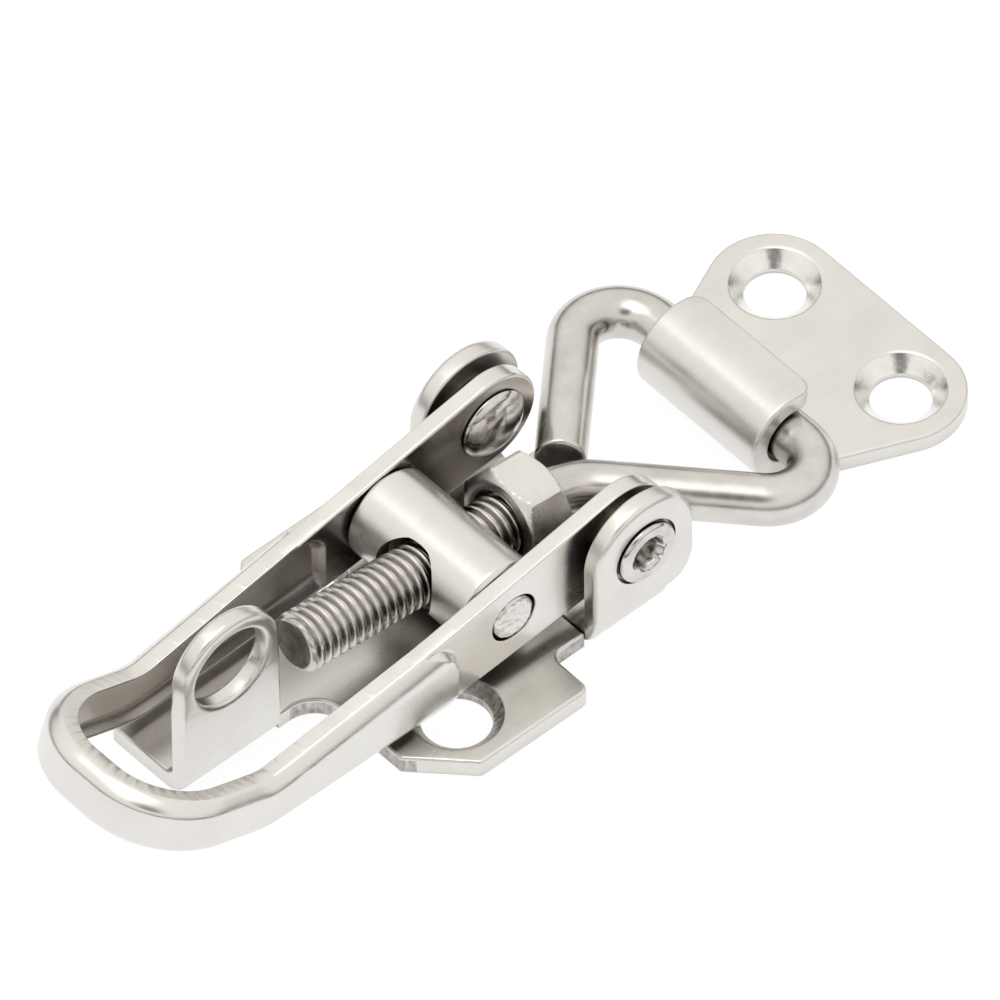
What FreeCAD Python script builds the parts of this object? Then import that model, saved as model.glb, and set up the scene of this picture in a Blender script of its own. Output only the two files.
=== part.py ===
import FreeCAD, Part
import math
import os

from FreeCAD import Base

V = Base.Vector
NODES = []

# Adjustable toggle bolt latch. The latch lies closed on the XY plane with its pull along +X.
# Origin: on the mounting plane, midway between the two screw holes of the base plate.

DIMENSIONS = [
    # shared
    ("sheet", 2.0),
    ("handle_sheet", 1.8),
    # where the axes are
    ("pivot_x", 21.0),
    ("pivot_z", 10.2),
    ("trunnion_x", 7.7),
    ("trunnion_z", 8.6),
    ("bar_x", 43.3),
    ("bar_z", 4.8),
    # base plate
    ("base_screw_y", 10.5),
    ("base_screw_radius", 3.3),
    ("base_sink_radius", 4.4),
    ("base_front_x", 27.0),
    ("tab_front_x", 11.0),
    ("tab_back_x", -7.4),
    ("tab_half_width", 16.5),
    ("tab_chamfer", 5.4),
    ("tab_corner", 1.0),
    ("relief_y", 11.2),
    ("relief_radius", 1.2),
    ("ear_outer_y", 13.0),
    ("ear_half_width", 6.0),
    ("ear_bend_outer", 4.5),
    ("ear_corner", 3.0),
    ("tongue_back_x", -24.2),
    ("tongue_far_y", 9.8),
    ("tongue_corner", 1.2),
    ("tongue_notch_radius", 3.4),
    ("lug_near_y", -0.6),
    ("lug_front_x", -12.4),
    ("lug_bend_outer", 2.8),
    ("lug_arch_radius", 5.9),
    ("lug_arch_z", 13.9),
    ("lug_hole_radius", 4.3),
    # lever handle
    ("arm_outer_y", 9.8),
    ("arm_end_radius", 5.3),
    ("arm_pivot_hole", 2.5),
    ("arm_pin_hole", 2.42),
    ("arm_top_slope", 0.18),
    ("arm_bottom_slope", 0.09),
    ("bulge_tip_x", 0.6),
    ("bulge_full_x", -1.4),
    ("bulge_start_depth", 0.02),
    ("bulge_depth", 1.2),
    ("loop_half_width", 8.45),
    ("bend_x", -21.0),
    ("bend_radius", 8.0),
    ("bend_half_height", 2.85),
    ("bend_mid_z", 5.75),
    ("nose_rise_deg", 20.0),
    ("nose_run", 4.5),
    ("nose_corner_radius", 7.0),
    # pivot rivets
    ("rivet_shank_radius", 2.42),
    ("rivet_head_radius", 3.7),
    ("rivet_head_rise", 1.3),
    ("rivet_head_lip", 0.35),
    ("rivet_collar_radius", 3.3),
    ("rivet_roll_radius", 3.3),
    ("rivet_roll_rise", 0.6),
    ("rivet_roll_shift", 0.35),
    ("rivet_bore_radius", 1.5),
    ("rivet_bore_depth", 3.2),
    ("rivet_play", 0.1),
    # trunnion barrel
    ("barrel_radius", 4.75),
    ("barrel_half_length", 7.8),
    ("barrel_chamfer", 0.5),
    ("pin_radius", 2.35),
    ("pin_reach", 10.0),
    ("pin_chamfer", 0.3),
    ("thread_bore_radius", 3.06),
    ("thread_mouth_radius", 3.6),
    # bail rod
    ("thread_radius", 3.0),
    ("thread_back_run", 18.2),
    ("thread_front_run", 12.4),
    ("tip_chamfer", 0.45),
    ("rod_radius", 2.45),
    ("fork_run", 15.4),
    ("fork_radius", 7.0),
    ("near_apex_y", 20.0),
    ("far_apex_y", 20.7),
    ("corner_radius", 4.5),
    ("bar_run", 35.7),
    ("free_end_run", 16.9),
    ("free_end_y", 2.65),
    # lock nut
    ("nut_middle", 9.4),
    ("nut_height", 5.0),
    ("nut_across_flats", 9.8),
    ("nut_turn_deg", 5.0),
    ("nut_bore_radius", 3.06),
    ("nut_face_step", 0.35),
    ("nut_chamfer_deg", 30.0),
    # catch plate
    ("hook_inner", 2.8),
    ("hook_half_width", 8.0),
    ("hook_flap_run", 2.2),
    ("hook_flap_drop_deg", 10.0),
    ("catch_screw_x", 56.2),
    ("catch_screw_y", 8.6),
    ("catch_screw_radius", 2.9),
    ("catch_sink_radius", 4.4),
    ("catch_corner_x", 56.0),
    ("catch_corner_radius", 6.3),
    ("catch_root_x", 45.0),
    ("catch_root_y", 10.6),
]

# How far a cutting outline runs past the metal it trims.
MARGIN = 1.0
# The rivet's dome passes through this share of its radius at this share of its rise.
DOME_OUT = 0.66
DOME_UP = 0.72
# Share of the rolled rim's rise at which its inside lip ends.
ROLL_LIP = 0.55
# Where the barrel's thread mouth begins and ends on its cone.
MOUTH_OUT = 0.15
MOUTH_IN = 0.4
MOUTH_OVERLAP = 0.01


def make_sheet(doc):
    """Every driving size in millimetres or degrees, one row each."""
    sheet = doc.addObject("Spreadsheet::Sheet", "sizes")
    for row, (name, value) in enumerate(DIMENSIONS, start=1):
        sheet.set("A%d" % row, name)
        sheet.set("B%d" % row, repr(value))
        sheet.setAlias("B%d" % row, name)
    doc.recompute()
    return sheet


doc = FreeCAD.newDocument("toggle_latch")
SIZES = make_sheet(doc)


def size(name):
    return float(getattr(SIZES, name))


def bind(obj, prop, formula):
    """Tie a property to the sheet; names in braces are sheet aliases."""
    obj.setExpression(prop, formula.replace("{", SIZES.Name + ".").replace("}", ""))


def new_body(name):
    body = doc.addObject("PartDesign::Body", name)
    body.Label = name
    NODES.append(body)
    return body


def origin_plane(body, role):
    return next(f for f in body.Origin.OriginFeatures if f.Role == role)


def new_sketch(body, name, role, lift=0.0):
    """A sketch on one of the body's own planes, lifted along that plane's normal."""
    sketch = body.newObject("Sketcher::SketchObject", name)
    sketch.AttachmentSupport = [(origin_plane(body, role), "")]
    sketch.MapMode = "FlatFace"
    sketch.AttachmentOffset = FreeCAD.Placement(V(0, 0, lift), FreeCAD.Rotation())
    return sketch


def draw(sketch, start, steps):
    """Closed outline: each step is an end point, or (middle point, end point) for an arc."""
    here = V(start[0], start[1], 0)
    for step in steps:
        if isinstance(step[0], tuple):
            mid = V(step[0][0], step[0][1], 0)
            end = V(step[1][0], step[1][1], 0)
            sketch.addGeometry(Part.Arc(here, mid, end), False)
        else:
            end = V(step[0], step[1], 0)
            sketch.addGeometry(Part.LineSegment(here, end), False)
        here = end


def circle(sketch, x, y, radius):
    sketch.addGeometry(Part.Circle(V(x, y, 0), V(0, 0, 1), radius), False)


def pad(body, name, sketch, length, both_sides=False):
    feature = body.newObject("PartDesign::Pad", name)
    feature.Profile = sketch
    bind(feature, "Length", length)
    if both_sides:
        feature.SideType = "Symmetric"
    doc.recompute()
    return feature


def pocket_through(body, name, sketch, length):
    """A cut to both sides of its sketch; it must remove something."""
    before = body.Shape.Volume
    feature = body.newObject("PartDesign::Pocket", name)
    feature.Profile = sketch
    feature.SideType = "Symmetric"
    bind(feature, "Length", length)
    doc.recompute()
    if body.Shape.Volume >= before:
        raise RuntimeError(name + " cuts nothing")
    return feature


def on_circle(cx, cy, radius, degrees):
    a = math.radians(degrees)
    return (cx + radius * math.cos(a), cy + radius * math.sin(a))


def rod_tilt():
    """Angle in degrees by which the pull line falls from the trunnion to the catch bar."""
    drop = size("trunnion_z") - size("bar_z")
    return math.degrees(math.atan2(drop, size("bar_x") - size("trunnion_x")))


# ---------------------------------------------------------------- base plate

def ear_profile(sketch, side):
    """Flat strip that turns up through a bend into one pivot ear (YZ outline)."""
    t = size("sheet")
    outer = size("ear_outer_y")
    r = size("ear_bend_outer")
    top = size("pivot_z") + size("ear_half_width") + MARGIN
    inner = outer - t
    bend_y = outer - r
    mid_out = on_circle(bend_y, r, r, -45)
    mid_in = on_circle(bend_y, r, r - t, -45)
    steps = [
        (side * bend_y, 0.0),
        ((side * mid_out[0], mid_out[1]), (side * outer, r)),
        (side * outer, top),
        (side * inner, top),
        (side * inner, r),
        ((side * mid_in[0], mid_in[1]), (side * bend_y, t)),
        (0.0, t),
        (0.0, 0.0),
    ]
    draw(sketch, (0.0, 0.0), steps)


def ear_trim(sketch):
    """Everything outside the rounded ear outline, seen from the side."""
    px = size("pivot_x")
    pz = size("pivot_z")
    r = size("ear_half_width")
    wide = r + 2 * MARGIN
    top = pz + wide
    steps = [
        (px - r, pz),
        ((px, pz + r), (px + r, pz)),
        (px + wide, pz),
        (px + wide, top),
        (px - wide, top),
        (px - wide, pz),
    ]
    draw(sketch, (px - wide, pz), steps)


def ear_corner_trim(sketch):
    """Rounds the lower front corner of each ear where it runs into the bend."""
    x1 = size("pivot_x") + size("ear_half_width")
    c = size("ear_corner")
    z1 = size("sheet") + c
    mid = on_circle(x1 - c, z1, c, -45)
    steps = [
        (x1 + MARGIN, z1),
        (x1 + MARGIN, -MARGIN),
        (x1 - c, -MARGIN),
        (x1 - c, z1 - c),
        (mid, (x1, z1)),
    ]
    draw(sketch, (x1, z1), steps)


def lug_profile(sketch):
    """Tongue strip turned up at its near edge into the padlock lug (YZ outline)."""
    t = size("sheet")
    r = size("lug_bend_outer")
    near = size("lug_near_y")
    bend_y = near + r
    top = size("lug_arch_z") + size("lug_arch_radius") + MARGIN
    mid_out = on_circle(bend_y, r, r, -135)
    mid_in = on_circle(bend_y, r, r - t, -135)
    far = bend_y + MARGIN
    steps = [
        (bend_y, 0.0),
        (mid_out, (near, r)),
        (near, top),
        (near + t, top),
        (near + t, r),
        (mid_in, (bend_y, t)),
        (far, t),
        (far, 0.0),
    ]
    draw(sketch, (far, 0.0), steps)


def lug_middle_x():
    return (size("tongue_back_x") + size("lug_front_x")) / 2.0


def lug_trim(sketch):
    """Everything outside the arched top of the lug."""
    mid = lug_middle_x()
    z = size("lug_arch_z")
    r = size("lug_arch_radius")
    wide = r + 2 * MARGIN
    top = z + wide
    steps = [
        (mid - r, z),
        ((mid, z + r), (mid + r, z)),
        (mid + wide, z),
        (mid + wide, top),
        (mid - wide, top),
        (mid - wide, z),
    ]
    draw(sketch, (mid - wide, z), steps)


def base_outline(sketch):
    """Plan of the flat part: waist between the ears, two screw tabs, tongue to the lug."""
    front = size("base_front_x")
    waist = size("ear_outer_y") - size("ear_bend_outer")
    ear_back = size("pivot_x") - size("ear_half_width")
    relief = size("relief_y")
    rr = size("relief_radius")
    tf = size("tab_front_x")
    tb = size("tab_back_x")
    tw = size("tab_half_width")
    ch = size("tab_chamfer")
    tc = size("tab_corner")
    nc = size("tongue_corner")
    tongue_far = size("tongue_far_y")
    tongue_back = size("tongue_back_x")
    lug_front = size("lug_front_x")
    bend_y = size("lug_near_y") + size("lug_bend_outer")
    neck_y = bend_y - size("sheet")
    nr = size("tongue_notch_radius")
    steps = [
        (front, -waist),
        (ear_back, -waist),
        (ear_back, -relief),
        (tf + rr, -relief),
        (on_circle(tf + rr, -relief - rr, rr, 135), (tf, -relief - rr)),
        (tf, -tw + tc),
        (on_circle(tf - tc, -tw + tc, tc, -45), (tf - tc, -tw)),
        (tb + ch, -tw),
        (tb, -tw + ch),
        (tb, neck_y - nr),
        (on_circle(tb - nr, neck_y - nr, nr, 45), (tb - nr, neck_y)),
        (lug_front, neck_y),
        (lug_front, bend_y),
        (tongue_back, bend_y),
        (tongue_back, tongue_far),
        (tb - nc, tongue_far),
        (on_circle(tb - nc, tongue_far + nc, nc, -45), (tb, tongue_far + nc)),
        (tb, tw - ch),
        (tb + ch, tw),
        (tf - tc, tw),
        (on_circle(tf - tc, tw - tc, tc, 45), (tf, tw - tc)),
        (tf, relief + rr),
        (on_circle(tf + rr, relief + rr, rr, -135), (tf + rr, relief)),
        (ear_back, relief),
        (ear_back, waist),
        (front, waist),
    ]
    draw(sketch, (front, waist), steps)


def sink_profile(sketch, x, inner, outer):
    """Half section of a countersunk screw hole."""
    t = size("sheet")
    depth = outer - inner
    steps = [
        (x + inner, -MARGIN),
        (x + inner, t - depth),
        (x + outer, t),
        (x + outer, t + MARGIN),
        (x, t + MARGIN),
        (x, -MARGIN),
    ]
    draw(sketch, (x, -MARGIN), steps)


def sink_hole(body, name, x, y, inner, outer):
    """Turn the half section about the screw axis at (x, y) to cut one countersunk hole."""
    before = body.Shape.Volume
    sketch = new_sketch(body, name + "_section", "XZ_Plane", -y)
    sink_profile(sketch, x, inner, outer)
    foot = V(x, -MARGIN, 0)
    head = V(x, size("sheet") + MARGIN, 0)
    axis = sketch.addGeometry(Part.LineSegment(foot, head), True)
    groove = body.newObject("PartDesign::Groove", name)
    groove.Profile = sketch
    groove.ReferenceAxis = (sketch, ["Axis0"])
    groove.Angle = 360.0
    doc.recompute()
    if axis < 0 or body.Shape.Volume >= before:
        raise RuntimeError(name + " cuts nothing")


def make_base_plate():
    body = new_body("base_plate")
    for side, tag in ((1, "left"), (-1, "right")):
        profile = new_sketch(body, "ear_%s_section" % tag, "YZ_Plane", size("pivot_x"))
        ear_profile(profile, side)
        pad(body, "ear_" + tag, profile, "2 * {ear_half_width}", True)
    trim = new_sketch(body, "ear_outline", "XZ_Plane")
    ear_trim(trim)
    pocket_through(body, "ear_rounding", trim, "4 * {ear_outer_y}")
    corner = new_sketch(body, "ear_corner_outline", "XZ_Plane")
    ear_corner_trim(corner)
    pocket_through(body, "ear_corner_rounding", corner, "4 * {ear_outer_y}")
    lug = new_sketch(body, "lug_section", "YZ_Plane", lug_middle_x())
    lug_profile(lug)
    pad(body, "lug", lug, "{lug_front_x} - {tongue_back_x}", True)
    arch = new_sketch(body, "lug_outline", "XZ_Plane")
    lug_trim(arch)
    pocket_through(body, "lug_rounding", arch, "4 * {ear_outer_y}")
    eye = new_sketch(body, "lug_eye_outline", "XZ_Plane")
    circle(eye, lug_middle_x(), size("lug_arch_z"), size("lug_hole_radius"))
    pocket_through(body, "lug_eye", eye, "4 * {ear_outer_y}")
    flat = new_sketch(body, "flat_outline", "XY_Plane")
    base_outline(flat)
    pad(body, "flat", flat, "{sheet}")
    bore = new_sketch(body, "rivet_hole_outline", "XZ_Plane")
    circle(bore, size("pivot_x"), size("pivot_z"), size("rivet_shank_radius"))
    pocket_through(body, "rivet_holes", bore, "4 * {ear_outer_y}")
    for side, tag in ((1, "left"), (-1, "right")):
        sink_hole(body, "screw_hole_" + tag, 0.0, side * size("base_screw_y"),
                  size("base_screw_radius"), size("base_sink_radius"))
    return body


# -------------------------------------------------------------- lever handle

def arm_top(x):
    r = size("arm_end_radius")
    s = size("arm_top_slope")
    return size("pivot_z") + r * math.hypot(1, s) + s * (x - size("pivot_x"))


def arm_bottom(x):
    r = size("arm_end_radius")
    s = size("arm_bottom_slope")
    return size("pivot_z") - r * math.hypot(1, s) + s * (x - size("pivot_x"))


def bowed_section(origin, along, up, half, depth, side):
    """Sheet section bowed outward: outer and inner faces are parallel arcs, edges flat."""
    t = size("handle_sheet")
    out = along.cross(up) * side
    half_t = t / 2.0

    def at(u, w):
        return origin + up * u + out * w

    outer = Part.Arc(at(half, half_t), at(0, half_t + depth), at(-half, half_t)).toShape()
    foot = Part.LineSegment(at(-half, half_t), at(-half, -half_t)).toShape()
    inner = Part.Arc(at(-half, -half_t), at(0, depth - half_t), at(half, -half_t)).toShape()
    head = Part.LineSegment(at(half, -half_t), at(half, half_t)).toShape()
    return Part.Wire([outer, foot, inner, head])


def arm_mid_y():
    return size("arm_outer_y") - size("handle_sheet") / 2.0


def arm_plate(side):
    """Flat part of one arm, from the round pivot end to the start of the bulge."""
    px = size("pivot_x")
    pz = size("pivot_z")
    r = size("arm_end_radius")
    tip = size("bulge_tip_x")
    st = math.atan(size("arm_top_slope"))
    sb = math.atan(size("arm_bottom_slope"))
    y = side * (size("arm_outer_y") - (size("handle_sheet") if side > 0 else 0.0))
    top = V(px - r * math.sin(st), y, pz + r * math.cos(st))
    low = V(px + r * math.sin(sb), y, pz - r * math.cos(sb))
    end = V(px + r, y, pz)
    corner_top = V(tip, y, arm_top(tip))
    corner_low = V(tip, y, arm_bottom(tip))
    edges = [
        Part.Arc(top, end, low).toShape(),
        Part.LineSegment(low, corner_low).toShape(),
        Part.LineSegment(corner_low, corner_top).toShape(),
        Part.LineSegment(corner_top, top).toShape(),
    ]
    return Part.Face(Part.Wire(edges)).extrude(V(0, size("handle_sheet"), 0))


def bulged_arm(side):
    """The arm where it is pressed outward, tapering down to the loop bend."""
    tip = size("bulge_tip_x")
    full = size("bulge_full_x")
    bend = size("bend_x")
    y = side * arm_mid_y()
    along = V(1, 0, 0)
    up = V(0, 0, 1)
    stations = []
    for x, depth in ((tip, size("bulge_start_depth")), (full, size("bulge_depth"))):
        mid = (arm_top(x) + arm_bottom(x)) / 2.0
        half = (arm_top(x) - arm_bottom(x)) / 2.0
        stations.append(bowed_section(V(x, y, mid), along, up, half, depth, -side))
    low = size("bend_half_height")
    loop_y = side * size("loop_half_width")
    stations.append(bowed_section(V(bend, loop_y, size("bend_mid_z")), along, up, low,
                                  size("bulge_depth"), -side))
    first = Part.makeLoft(stations[:2], True, True)
    second = Part.makeLoft(stations[1:], True, True)
    return first.fuse(second)


def loop_path():
    """Middle line of the loop: up-bend, run, nose corner, tip, and back on the other side."""
    y = size("loop_half_width")
    rise = math.radians(size("nose_rise_deg"))
    r = size("bend_radius")
    x0 = size("bend_x")
    z0 = size("bend_mid_z")
    half = rise / 2.0
    bend_mid = V(x0 - r * math.sin(half), 0, z0 + r * (1 - math.cos(half)))
    bend_end = V(x0 - r * math.sin(rise), 0, z0 + r * (1 - math.cos(rise)))
    ahead = V(-math.cos(rise), 0, math.sin(rise))
    run_end = bend_end + ahead * size("nose_run")
    cr = size("nose_corner_radius")
    s45 = math.sin(math.pi / 4)
    right = V(0, -1, 0)
    near = V(0, -y, 0)
    corner_mid = run_end + near + ahead * (cr * s45) - right * (cr * (1 - s45))
    corner_end = run_end + near + ahead * cr - right * cr

    def mirror(p):
        return V(p.x, -p.y, p.z)

    a0 = V(x0, -y, z0)
    a1 = bend_mid + near
    a2 = bend_end + near
    a3 = run_end + near
    edges = [
        Part.Arc(a0, a1, a2).toShape(),
        Part.LineSegment(a2, a3).toShape(),
        Part.Arc(a3, corner_mid, corner_end).toShape(),
        Part.LineSegment(corner_end, mirror(corner_end)).toShape(),
        Part.Arc(mirror(corner_end), mirror(corner_mid), mirror(a3)).toShape(),
        Part.LineSegment(mirror(a3), mirror(a2)).toShape(),
        Part.Arc(mirror(a2), mirror(a1), mirror(a0)).toShape(),
    ]
    return Part.Wire(edges)


def make_lever_handle():
    start = V(size("bend_x"), -size("loop_half_width"), size("bend_mid_z"))
    section = bowed_section(start, V(1, 0, 0), V(0, 0, 1), size("bend_half_height"),
                            size("bulge_depth"), 1)
    solid = loop_path().makePipeShell([section], True, False)
    for side in (1, -1):
        solid = solid.fuse(arm_plate(side)).fuse(bulged_arm(side))
    reach = 2 * size("ear_outer_y")
    holes = (
        (size("pivot_x"), size("pivot_z"), size("arm_pivot_hole")),
        (size("trunnion_x"), size("trunnion_z"), size("arm_pin_hole")),
    )
    for x, z, r in holes:
        solid = solid.cut(Part.makeCylinder(r, 2 * reach, V(x, -reach, z), V(0, 1, 0)))
    solid = solid.removeSplitter()
    feature = doc.addObject("Part::Feature", "lever_handle")
    feature.Label = "lever_handle"
    feature.Shape = solid
    NODES.append(feature)
    return feature


# -------------------------------------------------------------- pivot rivets

def rivet_section(sketch, side):
    """Half section of a rolled-end rivet: domed head inside, collar, rolled rim outside."""
    t = size("sheet")
    play = size("rivet_play")
    arm_in = size("arm_outer_y") - size("handle_sheet")
    ear_in = size("ear_outer_y") - t
    ear_out = size("ear_outer_y")
    head = arm_in - play
    shank = size("rivet_shank_radius")
    head_r = size("rivet_head_radius")
    rise = size("rivet_head_rise")
    collar = size("rivet_collar_radius")
    roll_r = size("rivet_roll_radius")
    roll = size("rivet_roll_rise")
    bore = size("rivet_bore_radius")
    bottom = ear_out + roll - size("rivet_bore_depth")
    lip = size("rivet_head_lip")
    roll_middle_r = (roll_r + bore) / 2.0 + size("rivet_roll_shift")

    def p(radius, y):
        return (radius, side * y)

    dome_mid = (head_r * DOME_OUT, side * (head - rise * DOME_UP))
    roll_mid = (roll_middle_r, side * (ear_out + roll))
    steps = [
        (dome_mid, p(head_r, head - lip)),
        p(head_r, head),
        p(shank, head),
        p(shank, size("arm_outer_y") + play),
        p(collar, size("arm_outer_y") + play),
        p(collar, ear_in),
        p(shank, ear_in),
        p(shank, ear_out),
        p(roll_r, ear_out),
        (roll_mid, p(bore, ear_out + roll * ROLL_LIP)),
        p(bore, bottom),
        p(0.0, bottom),
        p(0.0, head - rise),
    ]
    draw(sketch, p(0.0, head - rise), steps)


def make_rivet(name, side):
    body = new_body(name)
    body.Placement = FreeCAD.Placement(V(size("pivot_x"), 0, size("pivot_z")),
                                       FreeCAD.Rotation())
    sketch = new_sketch(body, name + "_section", "XY_Plane")
    rivet_section(sketch, side)
    turned = body.newObject("PartDesign::Revolution", name + "_turned")
    turned.Profile = sketch
    turned.ReferenceAxis = (sketch, ["V_Axis"])
    turned.Angle = 360.0
    doc.recompute()
    return body


# ----------------------------------------------------------- trunnion barrel

def barrel_section(sketch):
    r = size("barrel_radius")
    half = size("barrel_half_length")
    c = size("barrel_chamfer")
    pin = size("pin_radius")
    reach = size("pin_reach")
    e = size("pin_chamfer")
    steps = [
        (pin - e, reach),
        (pin, reach - e),
        (pin, half),
        (r - c, half),
        (r, half - c),
        (r, -half + c),
        (r - c, -half),
        (pin, -half),
        (pin, -reach + e),
        (pin - e, -reach),
        (0.0, -reach),
        (0.0, reach),
    ]
    draw(sketch, (0.0, reach), steps)


def make_barrel():
    body = new_body("trunnion_barrel")
    turn = FreeCAD.Rotation(V(0, 1, 0), rod_tilt())
    body.Placement = FreeCAD.Placement(V(size("trunnion_x"), 0, size("trunnion_z")), turn)
    sketch = new_sketch(body, "barrel_section", "XY_Plane")
    barrel_section(sketch)
    turned = body.newObject("PartDesign::Revolution", "barrel_turned")
    turned.Profile = sketch
    turned.ReferenceAxis = (sketch, ["V_Axis"])
    turned.Angle = 360.0
    doc.recompute()
    bore = new_sketch(body, "thread_bore_outline", "YZ_Plane")
    circle(bore, 0.0, 0.0, size("thread_bore_radius"))
    pocket_through(body, "thread_bore", bore, "4 * {barrel_radius}")
    mouths = new_sketch(body, "thread_mouth_section", "XY_Plane")
    inner = size("thread_bore_radius") - MOUTH_OVERLAP
    outer = size("thread_mouth_radius")
    far = size("barrel_radius") + MARGIN
    near = math.sqrt(size("barrel_radius") ** 2 - outer ** 2)
    cone = near - MOUTH_IN
    for side in (1, -1):
        steps = [
            (side * (near + MOUTH_OUT), outer),
            (side * far, outer),
            (side * far, inner),
            (side * cone, inner),
        ]
        draw(mouths, (side * cone, inner), steps)
    sink = body.newObject("PartDesign::Groove", "thread_mouths")
    sink.Profile = mouths
    sink.ReferenceAxis = (mouths, ["H_Axis"])
    sink.Angle = 360.0
    doc.recompute()
    return body


# ------------------------------------------------------------------ bail rod

def rounded_corner(before, corner, after, radius):
    """Start, middle and end of the arc that rounds a corner between two straight runs."""
    a = (before - corner).normalize()
    b = (after - corner).normalize()
    half = math.acos(max(-1.0, min(1.0, a.dot(b)))) / 2.0
    reach = radius / math.tan(half)
    middle = (a + b).normalize()
    centre = corner + middle * (radius / math.sin(half))
    return corner + a * reach, centre - middle * radius, corner + b * reach


def bail_corners(start, free_end):
    """Arcs of the bail's centre line in its own plane, X measured from the trunnion."""
    fork = V(size("fork_run"), 0, 0)
    near = V(size("bar_run"), -size("near_apex_y"), 0)
    far = V(size("bar_run"), size("far_apex_y"), 0)
    return [
        rounded_corner(start, fork, near, size("fork_radius")),
        rounded_corner(fork, near, far, size("corner_radius")),
        rounded_corner(near, far, free_end, size("corner_radius")),
    ]


def threaded_end_section(sketch):
    """Half section of the larger threaded end with its tip chamfer."""
    tip = -size("thread_back_run")
    front = size("thread_front_run")
    r = size("thread_radius")
    rod = size("rod_radius")
    c = size("tip_chamfer")
    steps = [
        (tip, r - c),
        (tip + c, r),
        (front - (r - rod), r),
        (front, rod),
        (front, 0.0),
        (tip, 0.0),
    ]
    draw(sketch, (tip, 0.0), steps)


def make_bail_rod():
    body = new_body("bail_rod")
    turn = FreeCAD.Rotation(V(0, 1, 0), rod_tilt())
    body.Placement = FreeCAD.Placement(V(size("trunnion_x"), 0, size("trunnion_z")), turn)
    start = V(size("thread_front_run"), 0, 0)
    free_end = V(size("free_end_run"), size("free_end_y"), 0)
    path = new_sketch(body, "bail_centre_line", "XY_Plane")
    here = start
    for begin, middle, end in bail_corners(start, free_end):
        if (begin - here).Length > 1e-6:
            path.addGeometry(Part.LineSegment(here, begin), False)
        path.addGeometry(Part.Arc(begin, middle, end), False)
        here = end
    path.addGeometry(Part.LineSegment(here, free_end), False)
    section = new_sketch(body, "rod_section", "YZ_Plane", start.x)
    circle(section, 0.0, 0.0, size("rod_radius"))
    doc.recompute()
    bent = body.newObject("PartDesign::AdditivePipe", "bent_rod")
    bent.Profile = section
    bent.Spine = path
    doc.recompute()
    shank = new_sketch(body, "threaded_end_section", "XY_Plane")
    threaded_end_section(shank)
    turned = body.newObject("PartDesign::Revolution", "threaded_end")
    turned.Profile = shank
    turned.ReferenceAxis = (shank, ["H_Axis"])
    turned.Angle = 360.0
    doc.recompute()
    return body


# ------------------------------------------------------------------ lock nut

def make_lock_nut():
    body = new_body("lock_nut")
    tilt = FreeCAD.Rotation(V(0, 1, 0), rod_tilt())
    spin = FreeCAD.Rotation(V(1, 0, 0), size("nut_turn_deg"))
    here = V(size("trunnion_x"), 0, size("trunnion_z")) + tilt.multVec(V(size("nut_middle"), 0, 0))
    body.Placement = FreeCAD.Placement(here, tilt.multiply(spin))
    hexagon = new_sketch(body, "nut_outline", "YZ_Plane")
    corner_r = size("nut_across_flats") / math.sqrt(3)
    points = [on_circle(0.0, 0.0, corner_r, 60 * k) for k in range(6)]
    draw(hexagon, points[-1], points)
    pad(body, "nut_blank", hexagon, "{nut_height}", True)
    trim = new_sketch(body, "nut_corner_section", "XY_Plane")
    half = size("nut_height") / 2.0
    flat_r = size("nut_across_flats") / 2.0
    face_r = flat_r - size("nut_face_step")
    drop = (corner_r - face_r) * math.tan(math.radians(size("nut_chamfer_deg")))
    for side in (1, -1):
        steps = [
            (side * (half - drop), corner_r),
            (side * (half + MARGIN), corner_r),
            (side * (half + MARGIN), face_r),
            (side * half, face_r),
        ]
        draw(trim, (side * half, face_r), steps)
    groove = body.newObject("PartDesign::Groove", "nut_chamfers")
    groove.Profile = trim
    groove.ReferenceAxis = (trim, ["H_Axis"])
    groove.Angle = 360.0
    doc.recompute()
    bore = new_sketch(body, "nut_bore_outline", "YZ_Plane")
    circle(bore, 0.0, 0.0, size("nut_bore_radius"))
    pocket_through(body, "nut_bore", bore, "2 * {nut_height}")
    return body


# --------------------------------------------------------------- catch plate

def hook_section(sketch):
    """Side outline: plate edge, curl up round the bail bar, flap back over it."""
    t = size("sheet")
    ri = size("hook_inner")
    ro = ri + t
    x = size("bar_x")
    z = t + ri
    root = size("catch_root_x")
    run = size("hook_flap_run")
    a = math.radians(size("hook_flap_drop_deg"))
    turn = 90 - size("hook_flap_drop_deg")
    mid = (270 + turn) / 2.0
    end_out = on_circle(x, z, ro, turn)
    end_in = on_circle(x, z, ri, turn)
    step = (run * math.cos(a), -run * math.sin(a))
    steps = [
        (x, 0.0),
        (on_circle(x, z, ro, mid), end_out),
        (end_out[0] + step[0], end_out[1] + step[1]),
        (end_in[0] + step[0], end_in[1] + step[1]),
        end_in,
        (on_circle(x, z, ri, mid), (x, t)),
        (root, t),
        (root, 0.0),
    ]
    draw(sketch, (root, 0.0), steps)


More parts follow.
